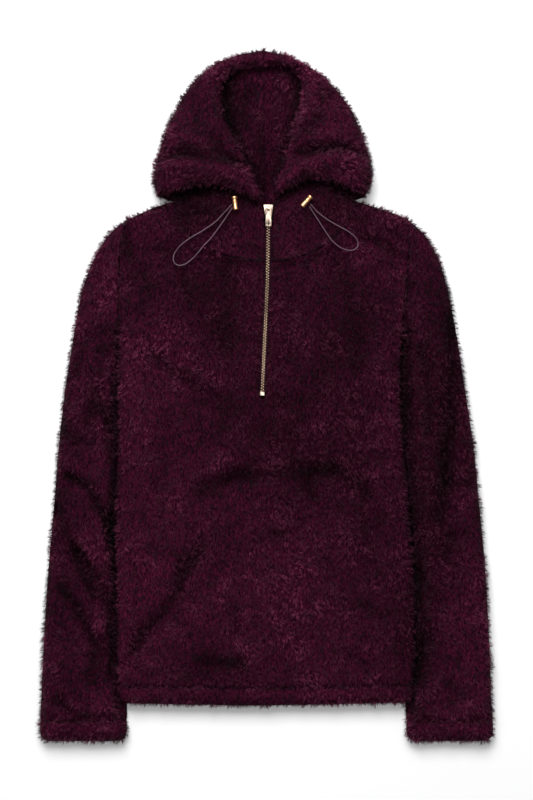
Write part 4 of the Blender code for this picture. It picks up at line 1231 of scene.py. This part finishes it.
        # Painted shade: darker where little sky is seen, in troughs and in the ovals; some ovals paint
        # light.
        lit = max(sky, self.seam_light * seam, self.side_light * side_open, self.least_light)
        mottle_and_painted_shading = math.prod(oval.at(point) for oval in PAINTED_SHADING_OVALS)
        is_wall = side > 0.5 and sky > 0.32 and normal.z > -0.3
        return Ground(
            start=point,
            place=point + Vector((0.0, 0.0, drop)),
            push=level * -self.side_sink if is_wall else None,
            pile=round(growth * smoothstep(sky, *self.dim), 3),
            reach=round(self.reach(point, side) + self.seam_long * seam, 3),
            # Painted shade and painted light, as a share of the pile's colour.
            tone=crease_painted_shade * mottle_and_painted_shading * (self.darkest + (1.0 - self.darkest) * lit ** self.light_power),
            stand=side,
            comb=self.combed(point) + level * self.side_lean * side_open,
        )

    def settle(self, obj: bpy.types.Object) -> None:
        """Draws the shell in to the pile's ground and notes where and how its pile grows and how it is
        painted darker.

        Args:
            obj: The refined shell.
        """
        mesh = obj.data
        around = Surroundings(self.node)
        normals = [Vector([round(part, 4) for part in vertex.normal]) for vertex in mesh.vertices]
        grounds = [
            self.ground(around, vertex.co.copy(), normal) for vertex, normal in zip(mesh.vertices, normals)
        ]
        self.draw_in(grounds)
        for vertex, ground in zip(mesh.vertices, grounds):
            beyond = ground.start.x - HOOD_SEAM_X
            if self.node.startswith("hood") and abs(beyond) < self.seam_catch:
                ground.place.x = HOOD_SEAM_X + math.copysign(self.seam_gap, beyond)
            vertex.co = ground.place
        # Where the pile grows, how long it is, its painted shade and painted light, and how it stands.
        for name in ("pile", "reach", "tone", "stand"):
            values = [getattr(ground, name) for ground in grounds]
            mesh.attributes.new(name, "FLOAT", "POINT").data.foreach_set("value", values)
        outward = [float(polygon.normal.z > self.bare_tilt) for polygon in mesh.polygons]
        mesh.attributes.new("grows", "FLOAT", "FACE").data.foreach_set("value", outward)
        combs = [number for ground in grounds for number in ground.comb]
        mesh.attributes.new("comb", "FLOAT_VECTOR", "POINT").data.foreach_set("vector", combs)

    def draw_in(self, grounds: list[Ground]) -> None:
        """Draws the shell in at its open sides, less and less away from them.

        Args:
            grounds: The shell's points, whose places are moved.
        """
        walls = [ground for ground in grounds if ground.push is not None]
        tree = KDTree(max(1, len(walls)))
        for number, wall in enumerate(walls):
            tree.insert((wall.start.x, wall.start.y, 0.0), number)
        tree.balance()
        for ground in grounds:
            pushes = [
                walls[nearest].push * (1.0 - smoothstep(away, *self.wall_fade))
                for _, nearest, away in tree.find_n((ground.place.x, ground.place.y, 0.0), 4)
            ] if walls else []
            ground.place = ground.place + sum(pushes, Vector()) / max(1, len(pushes))

    def swell(self, point: Vector) -> float:
        """The cloth's own slow unevenness at a point, in metres."""
        place = point * self.relief_scale + Vector((self.seed * 3.1, 0.0, 0.0))
        return noise.fractal(place, 0.8, 2.0, 3) * self.relief

    def growth(self, point: Vector, normal: Vector, side_open: float, top: float) -> float:
        """How densely the pile grows at a point.

        Args:
            point: A place on the cloth.
            normal: Its unit normal.
            side_open: How much of an open side it is.
            top: How much of an open top it is.

        Returns:
            A number from 0 to 1.
        """
        if self.near_zip(point):
            return 0.0
        if self.at_zip(point):
            return top
        return max(side_open, top * (1.0 - self.flat_thinning * smoothstep(normal.z, 0.4, 0.8)))

    def reach(self, point: Vector, side: float) -> float:
        """How long the pile is at a point.

        Args:
            point: A place on the cloth.
            side: How much of an open side it is.

        Returns:
            A share of a lock's own length.
        """
        patch = noise.noise(point * self.patch_scale + Vector((0.0, self.seed * 5.3, 0.0)))
        edge = self.side_short * side
        if self.at_zip(point):
            edge += self.zip_short * (1.0 - smoothstep(abs(point.x - zip_x(point.y)), 5.0 * MM, 11.0 * MM))
        return 1.0 + self.patch * patch - edge

    def make(self, pile_tree: PileTree) -> list[bpy.types.Object]:
        """Args:
            pile_tree: The Geometry Nodes that plant the pile.

        Returns:
            The pieces made.
        """
        shell = self.refined()
        self.settle(shell)
        limits = (-1.0, *self.bands, 1.0)
        piles = []
        for number, (low, high) in enumerate(zip(limits, limits[1:])):
            name = f"{self.node}_pile_{number}"
            band = {"Lowest Y": low, "Highest Y": high}
            piles.append(pile_tree.plant(shell, name, self.seed * 10 + number, **band))
        shell.data.materials.clear()
        shell.data.materials.append(BACKING.material())
        shell.data.shade_smooth()
        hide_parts(self.node)
        for piece in (shell, *piles):
            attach(piece, GARMENT)
        return [shell, *piles]


# Zip


@dataclass
class ZipFastener:
    """The zip: its teeth, stop, slider and pull tab."""

    chain_bottom: float = 6.0 * MM
    chain_top: float = 264.0 * MM
    chain_level: float = 21.3 * MM
    tooth_pitch: float = 3.8 * MM
    tooth_size: tuple[float, float, float] = (2.5 * MM, 1.5 * MM, 2.3 * MM)
    row_offset: float = 1.2 * MM
    edge_round: float = 0.28 * MM
    cast_edges: tuple[tuple[str, float], ...] = (
        ("zip_stop", 0.4 * MM), ("zip_slider", 0.35 * MM), ("zip_pull", 0.25 * MM),
    )
    bevelled_angle: float = 35.0
    sharp_angle: float = 25.0

    def tooth(self) -> bpy.types.Object:
        """One tooth, a small block with its edges rounded.

        Returns:
            The tooth, which is in no collection.
        """
        bm = bmesh.new()
        bmesh.ops.create_cube(bm, size=1.0)
        bmesh.ops.scale(bm, vec=self.tooth_size, verts=bm.verts[:])
        bmesh.ops.bevel(bm, geom=bm.edges[:], offset=self.edge_round, segments=1, affect="EDGES")
        return bpy.data.objects.new("zip_tooth", mesh_from(bm, "zip_tooth"))

    def path(self, side: int) -> bpy.types.Object:
        """One row's line along the zip.

        Args:
            side: -1 for the left row and 1 for the right one.

        Returns:
            A curve with a point for each tooth.
        """
        curve = bpy.data.curves.new("zip_row", "CURVE")
        curve.dimensions = "3D"
        count = int((self.chain_top - self.chain_bottom) / self.tooth_pitch)
        start = self.chain_bottom + self.tooth_pitch * (0.75 if side > 0 else 0.25)
        spline = curve.splines.new("POLY")
        spline.points.add(count - 1)
        level = self.chain_level + self.tooth_size[2] / 2
        for number, point in enumerate(spline.points):
            y = start + number * self.tooth_pitch
            point.co = (zip_x(y) + side * self.row_offset, y, level, 1.0)
        return add_object("zip_row", curve)

    def teeth_tree(self) -> tuple[Any, dict[str, str]]:
        """Geometry Nodes that set a tooth on each point of a line.

        Returns:
            The tree, and its inputs' identifiers by name.
        """
        tree = bpy.data.node_groups.new("set_teeth", "GeometryNodeTree")
        sockets = {
            name: tree.interface.new_socket(name, in_out="INPUT", socket_type=f"NodeSocket{kind}").identifier
            for name, kind in (("Row", "Geometry"), ("Tooth", "Object"), ("Finish", "Material"))
        }
        tree.interface.new_socket("Teeth", in_out="OUTPUT", socket_type="NodeSocketGeometry")
        graph = Graph(tree)
        given = graph.add("NodeGroupInput").outputs
        points = graph.add("GeometryNodeCurveToPoints", {"Curve": given["Row"]}, mode="EVALUATED")
        shape = graph.add("GeometryNodeObjectInfo", {"Object": given["Tooth"]}, transform_space="ORIGINAL")
        turned = graph.add("FunctionNodeAlignRotationToVector", {
            "Vector": points.outputs["Tangent"]}, axis="Y", pivot_axis="Z")
        set_out = graph.add("GeometryNodeInstanceOnPoints", {
            "Points": points.outputs["Points"], "Instance": shape.outputs["Geometry"],
            "Rotation": turned.outputs[0]})
        real = graph.add("GeometryNodeRealizeInstances", {"Geometry": set_out.outputs[0]})
        done = graph.add("GeometryNodeSetMaterial", {
            "Geometry": real.outputs[0], "Material": given["Finish"]})
        graph.add("NodeGroupOutput", {0: done.outputs[0]})
        return tree, sockets

    def make_chain(self) -> bpy.types.Object:
        """Both rows of teeth, joined into the piece that stands for the plain chain.

        Returns:
            The chain.
        """
        tree, sockets = self.teeth_tree()
        tooth = self.tooth()
        bm = bmesh.new()
        for side in (-1, 1):
            row = self.path(side)
            modifier = row.modifiers.new("teeth", "NODES")
            modifier.node_group = tree
            modifier[sockets["Tooth"]] = tooth
            modifier[sockets["Finish"]] = TEETH.material()
            bm.from_mesh(evaluated_mesh(row))
            bpy.data.objects.remove(row)
        chain = add_object("zip_teeth", mesh_from(bm, "zip_teeth"))
        chain.data.materials.append(TEETH.material())
        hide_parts("zip_chain")
        return chain

    def softened(self, node: str, width: float) -> bpy.types.Object:
        """A hard piece with its edges broken as in a casting.

        Args:
            node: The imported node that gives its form.
            width: How wide the broken edge is.

        Returns:
            The new piece, which replaces the node.
        """
        piece = add_object(f"{node}_cast", merged_copy(node, f"{node}_cast"))
        bevel = piece.modifiers.new("cast_edges", "BEVEL")
        bevel.width = width
        bevel.segments = 2
        bevel.limit_method = "ANGLE"
        bevel.angle_limit = math.radians(self.bevelled_angle)
        bake_modifiers(piece)
        piece.data.shade_smooth()
        piece.data.set_sharp_from_angle(angle=math.radians(self.sharp_angle))
        piece.data.materials.clear()
        piece.data.materials.append(BRASS.material())
        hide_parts(node)
        return piece

    def make(self) -> list[bpy.types.Object]:
        """Builds the zip and seats it on its bodies.

        Returns:
            The pieces made.
        """
        chain = self.make_chain()
        stop, slider, pull = (self.softened(node, width) for node, width in self.cast_edges)
        fixed = [chain, stop, slider]
        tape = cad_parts["zip_tape"]
        for place in range(len(tape.data.materials)):
            tape.data.materials[place] = TAPE.material()
        for piece in fixed:
            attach(piece, GARMENT)
        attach(pull, PULL_TAB)
        return [*fixed, pull]


# Drawcord


@dataclass(frozen=True)
class CordLock:
    """A metal barrel that lies on the neck, with turned grooves and a sprung button at its cord end."""

    node: str
    x: float
    y: float
    turn: float
    level: float = 30.5 * MM
    length: float = 19.0 * MM
    steps: int = 40
    profile: tuple[tuple[float, float], ...] = (
        (0.0, 0.0), (2.2, 0.0), (2.55, 0.25), (3.4, 0.35), (3.7, 0.75), (3.7, 3.1), (3.45, 3.5), (2.75, 3.7),
        (2.6, 4.2), (2.75, 4.9), (3.1, 5.3), (3.3, 5.8), (3.3, 9.6), (3.18, 9.9), (3.18, 10.4), (3.3, 10.7),
        (3.3, 16.2), (3.45, 16.6), (3.7, 17.0), (3.7, 18.2), (3.5, 18.65), (2.4, 18.8), (2.1, 18.4),
        (0.0, 18.4),
    )

    def make(self) -> bpy.types.Object:
        """Turns the barrel from its profile and lays it in place.

        Returns:
            The barrel.
        """
        bm = bmesh.new()
        line = [bm.verts.new((radius * MM, 0.0, self.length / 2 - at * MM)) for radius, at in self.profile]
        edges = [bm.edges.new(pair) for pair in zip(line, line[1:])]
        bmesh.ops.spin(bm, geom=[*line, *edges], axis=(0.0, 0.0, 1.0), cent=(0.0, 0.0, 0.0),
                       angle=2.0 * math.pi, steps=self.steps, use_merge=True)
        bmesh.ops.remove_doubles(bm, verts=bm.verts[:], dist=1e-6)
        bmesh.ops.recalc_face_normals(bm, faces=bm.faces[:])
        lay_down = Matrix.Rotation(math.radians(-90.0), 4, "X")
        turned = Matrix.Rotation(self.turn, 4, "Z")
        place = Matrix.Translation((self.x, self.y, self.level)) @ turned @ lay_down
        bmesh.ops.transform(bm, matrix=place, verts=bm.verts[:])
        barrel = add_object(f"{self.node}_barrel", mesh_from(bm, f"{self.node}_barrel"))
        barrel.data.set_sharp_from_angle(angle=math.radians(40.0))
        barrel.data.materials.append(COPPER.material())
        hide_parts(self.node)
        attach(barrel, GARMENT)
        return barrel


@dataclass(frozen=True)
class CordLoop:
    """A loop of braided elastic cord from one side of its lock round to the other."""

    node: str
    route: tuple[tuple[float, float], ...]
    radius: float = 0.8 * MM
    sides: int = 12
    step: float = 0.55 * MM
    yarn_relief: float = 0.10 * MM
    yarns: int = 4
    yarn_pitch: float = 3.4 * MM
    feel: float = 3.0 * MM
    usual_level: float = 0.0304
    smoothing: int = 9

    def centreline(self) -> np.ndarray:
        """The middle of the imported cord, found ring by ring along the route.

        Returns:
            Points a step apart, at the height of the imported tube.
        """
        points = np.array([vertex.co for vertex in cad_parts[self.node].data.vertices])
        rough = smooth_route(np.array(self.route) * MM, 400)
        heights = []
        for x, y in rough:
            gap = np.hypot(points[:, 0] - x, points[:, 1] - y)
            near = points[gap < self.feel][:, 2]
            heights.append((near.min() + near.max()) / 2 if len(near) else self.usual_level)
        kernel = np.ones(self.smoothing) / self.smoothing
        padded = np.pad(heights, self.smoothing // 2, mode="edge")
        line = np.column_stack([rough, np.convolve(padded, kernel, mode="valid")])
        return spaced(line, int(run_along(line)[-1] / self.step))

    def yarn(self, angle: float, travel: float) -> float:
        """How far the braid's upper yarn stands out, from -1 to 1, at an angle round the cord."""
        return max(math.sin(self.yarns * angle + travel), math.sin(self.yarns * angle - travel))

    def braid(self, bm: bmesh.types.BMesh, line: np.ndarray) -> None:
        """Sweeps the braid along a line, closed at both ends.

        Args:
            bm: The bmesh that gets it.
            line: The cord's middle, a row for each ring.
        """
        braid_layer = bm.verts.layers.float.new("braid")
        rings = []
        for number, centre in enumerate(line):
            ahead = Vector(line[min(number + 1, len(line) - 1)]) - Vector(line[max(number - 1, 0)])
            ahead.normalize()
            across = ahead.cross(UP).normalized()
            up = across.cross(ahead)
            travel = 2.0 * math.pi * number * self.step / self.yarn_pitch
            ring = []
            for side in range(self.sides):
                angle = 2.0 * math.pi * side / self.sides
                over = self.yarn(angle, travel)
                radius = self.radius - self.yarn_relief * (1.0 - over) / 2.0
                offset = (across * math.cos(angle) + up * math.sin(angle)) * radius
                vert = bm.verts.new(Vector(centre) + offset)
                vert[braid_layer] = (over + 1.0) / 2.0
                ring.append(vert)
            rings.append(ring)
        for first, second in zip(rings, rings[1:]):
            for side in range(self.sides):
                following = (side + 1) % self.sides
                bm.faces.new([first[side], first[following], second[following], second[side]])
        bm.faces.new(rings[0])
        bm.faces.new(rings[-1])
        bmesh.ops.recalc_face_normals(bm, faces=bm.faces[:])

    def make(self) -> bpy.types.Object:
        """Returns:
            The cord.
        """
        line = self.centreline()
        bm = bmesh.new()
        self.braid(bm, line)
        cord = add_object(f"{self.node}_braid", mesh_from(bm, f"{self.node}_braid"))
        cord.data.materials.append(CORD.material())
        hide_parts(self.node)
        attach(cord, GARMENT)
        return cord


def run_along(line: np.ndarray) -> np.ndarray:
    """How far along a line each of its points is, in metres."""
    return np.concatenate([[0.0], np.cumsum(np.linalg.norm(np.diff(line, axis=0), axis=1))])


def spaced(line: np.ndarray, count: int) -> np.ndarray:
    """Points at even spacing along a line.

    Args:
        line: The line's points, a row for each.
        count: How many points to return.

    Returns:
        The points, a row for each.
    """
    run = run_along(line)
    wanted = np.linspace(0.0, run[-1], count)
    return np.column_stack([np.interp(wanted, run, line[:, part]) for part in range(line.shape[1])])


def smooth_route(points: np.ndarray, count: int) -> np.ndarray:
    """Points at even spacing on a smooth curve through the given ones.

    Args:
        points: The places that the curve passes, a row for each.
        count: How many points to return.

    Returns:
        The points, a row for each.
    """
    step = np.linalg.norm(np.diff(points, axis=0), axis=1)
    span = np.concatenate([step[:1], step[:-1] + step[1:], step[-1:]])[:, None]
    slope = np.vstack([points[1] - points[0], points[2:] - points[:-2], points[-1] - points[-2]]) / span
    fine = []
    for i, length in enumerate(step):
        t = np.linspace(0.0, 1.0, 16, endpoint=False)[:, None]
        fine.append(
            (2 * t**3 - 3 * t**2 + 1) * points[i] + (t**3 - 2 * t**2 + t) * length * slope[i]
            + (3 * t**2 - 2 * t**3) * points[i + 1] + (t**3 - t**2) * length * slope[i + 1]
        )
    return spaced(np.vstack([*fine, points[-1:]]), count)


# Studio


@dataclass(frozen=True)
class Studio:
    """A pale surface, soft light from the hood's side and a camera straight above."""

    image_height: float = 1.120
    lens: float = 85.0
    sensor: float = 36.0
    aim: tuple[float, float, float] = (0.0, -0.0056, 0.024)
    floor_size: float = 6.0
    floor_level: float = -0.0002
    sky_strength: float = 0.27

    def floor(self) -> None:
        """The surface that the garment lies on."""
        bm = bmesh.new()
        bmesh.ops.create_grid(bm, x_segments=1, y_segments=1, size=self.floor_size)
        bmesh.ops.translate(bm, vec=(0.0, 0.0, self.floor_level), verts=bm.verts[:])
        surface = add_object("surface", mesh_from(bm, "surface", smooth=False))
        surface.data.materials.append(PAPER.material())

    def camera(self) -> None:
        """The camera, whose picture is as tall as the photographed sheet."""
        data = bpy.data.cameras.new("camera")
        data.lens = self.lens
        data.sensor_width = self.sensor
        height = self.image_height * self.lens / self.sensor
        camera = add_object("camera", data)
        camera.location = Vector(self.aim) + Vector((0.0, 0.0, height))
        bpy.context.scene.camera = camera

    def light(self, name: str, place: tuple[float, float, float], size: float, power: float) -> None:
        """A square soft white light that looks at the garment.

        Args:
            name: The light's name.
            place: Where it stands.
            size: The length of its side.
            power: Its power in watts.
        """
        data = bpy.data.lights.new(name, "AREA")
        data.shape = "SQUARE"
        data.size = size
        data.energy = power
        lamp = add_object(name, data)
        lamp.location = place
        lamp.rotation_mode = "QUATERNION"
        lamp.rotation_quaternion = (Vector(place) - Vector(self.aim)).to_track_quat("Z", "Y")

    def make(self) -> None:
        """Builds the stage."""
        self.floor()
        self.camera()
        self.light("key", (-0.4, 2.0, 2.5), 1.9, 166.0)
        self.light("overhead", (0.25, -0.2, 3.3), 1.4, 36.0)
        world = bpy.data.worlds.new("studio")
        world.use_nodes = True
        sky = world.node_tree.nodes["Background"].inputs
        sky["Color"].default_value = (1.0, 1.0, 1.0, 1.0)
        sky["Strength"].default_value = self.sky_strength
        bpy.context.scene.world = world
        bpy.context.scene.view_settings.view_transform = "Standard"


def cloth_pieces() -> list[ClothPiece]:
    """Every sewn piece with its flat size, from the bottom layer up.

    Returns:
        The pieces.
    """
    return [
        ClothPiece("back_panel", (0.41, 0.71), 0.27, ("surface",), 1, longest_edge=12.0 * MM),
        ClothPiece("hood_back_left", (0.16, 0.23), 0.028, ("surface",), 2, creases=HOOD_BACK_CREASES,
                   least_light=0.55),
        ClothPiece("hood_back_right", (0.16, 0.23), 0.028, ("surface",), 3, creases=HOOD_BACK_CREASES,
                   least_light=0.55),
        ClothPiece("sleeve_left", (0.24, 0.735), 0.15, ("surface",), 4, creases=LEFT_SLEEVE_CREASES,
                   longest_edge=8.5 * MM),
        ClothPiece("sleeve_right", (0.25, 0.735), 0.16, ("surface",), 5, creases=RIGHT_SLEEVE_CREASES,
                   longest_edge=8.5 * MM),
        ClothPiece("front_panel", (0.42, 0.71), 0.28, ("back_panel",), 6, creases=FRONT_CREASES,
                   bands=(-0.25, -0.06, 0.12)),
        ClothPiece("neck_left", (0.13, 0.12), 0.012, ("back_panel",), 7, creases=(NECKLINE, *NECK_SHADOW)),
        ClothPiece("neck_right", (0.13, 0.12), 0.012, ("back_panel",), 8, creases=(NECKLINE, *NECK_SHADOW)),
        ClothPiece("hood_left", (0.22, 0.26), 0.026, ("hood_back_left", "neck_left"), 9, Comb.OUT_FROM_FACE,
                   LEFT_HOOD_CREASES),
        ClothPiece("hood_right", (0.22, 0.26), 0.026, ("hood_back_right", "neck_right"), 10,
                   Comb.OUT_FROM_FACE, RIGHT_HOOD_CREASES),
    ]


CORD_LOCKS = (
    CordLock("toggle_left", -43.9 * MM, 269.5 * MM, math.radians(7.0)),
    CordLock("toggle_right", 55.9 * MM, 272.0 * MM, math.radians(-41.0)),
)
CORD_LOOPS = (
    CordLoop("cord_left", (
        (-48.6, 267.0), (-58.5, 257.0), (-71.5, 243.5), (-89.5, 231.0), (-107.2, 220.5), (-120.7, 210.0),
        (-128.5, 199.6), (-130.3, 190.6), (-127.0, 184.4), (-120.0, 182.6), (-110.6, 186.3), (-98.3, 197.4),
        (-87.2, 210.8), (-77.1, 221.5), (-67.1, 235.0), (-56.5, 250.0), (-47.6, 263.2),
    )),
    CordLoop("cord_right", (
        (61.6, 268.0), (71.4, 257.2), (84.7, 247.0), (100.4, 237.8), (116.1, 228.8), (126.0, 219.6),
        (128.0, 210.8), (123.0, 204.8), (113.8, 203.7), (102.6, 208.0), (91.4, 217.6), (81.3, 232.0),
        (70.6, 248.4), (60.0, 264.6),
    )),
)


def report(pieces: Iterable[bpy.types.Object]) -> int:
    """Logs each piece and its triangles.

    Args:
        pieces: The pieces of one part of the garment.

    Returns:
        Their triangles in all.
    """
    total = 0
    for piece in pieces:
        count = triangles_of(piece)
        total += count
        LOG.info("%s has %d triangles", piece.name, count)
    return total


def main() -> None:
    """Builds the stage and then the garment, piece by piece."""
    logging.basicConfig(level=logging.INFO, format="%(name)s: %(message)s")
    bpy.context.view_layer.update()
    Studio().make()
    total = report(loop.make() for loop in CORD_LOOPS)
    total += report(lock.make() for lock in CORD_LOCKS)
    total += report(ZipFastener().make())
    pile_tree = PileTree(LockShape().collection())
    for piece in cloth_pieces():
        total += report(piece.make(pile_tree))
    LOG.info("%d triangles in all", total)


if __name__ == "__main__":
    main()
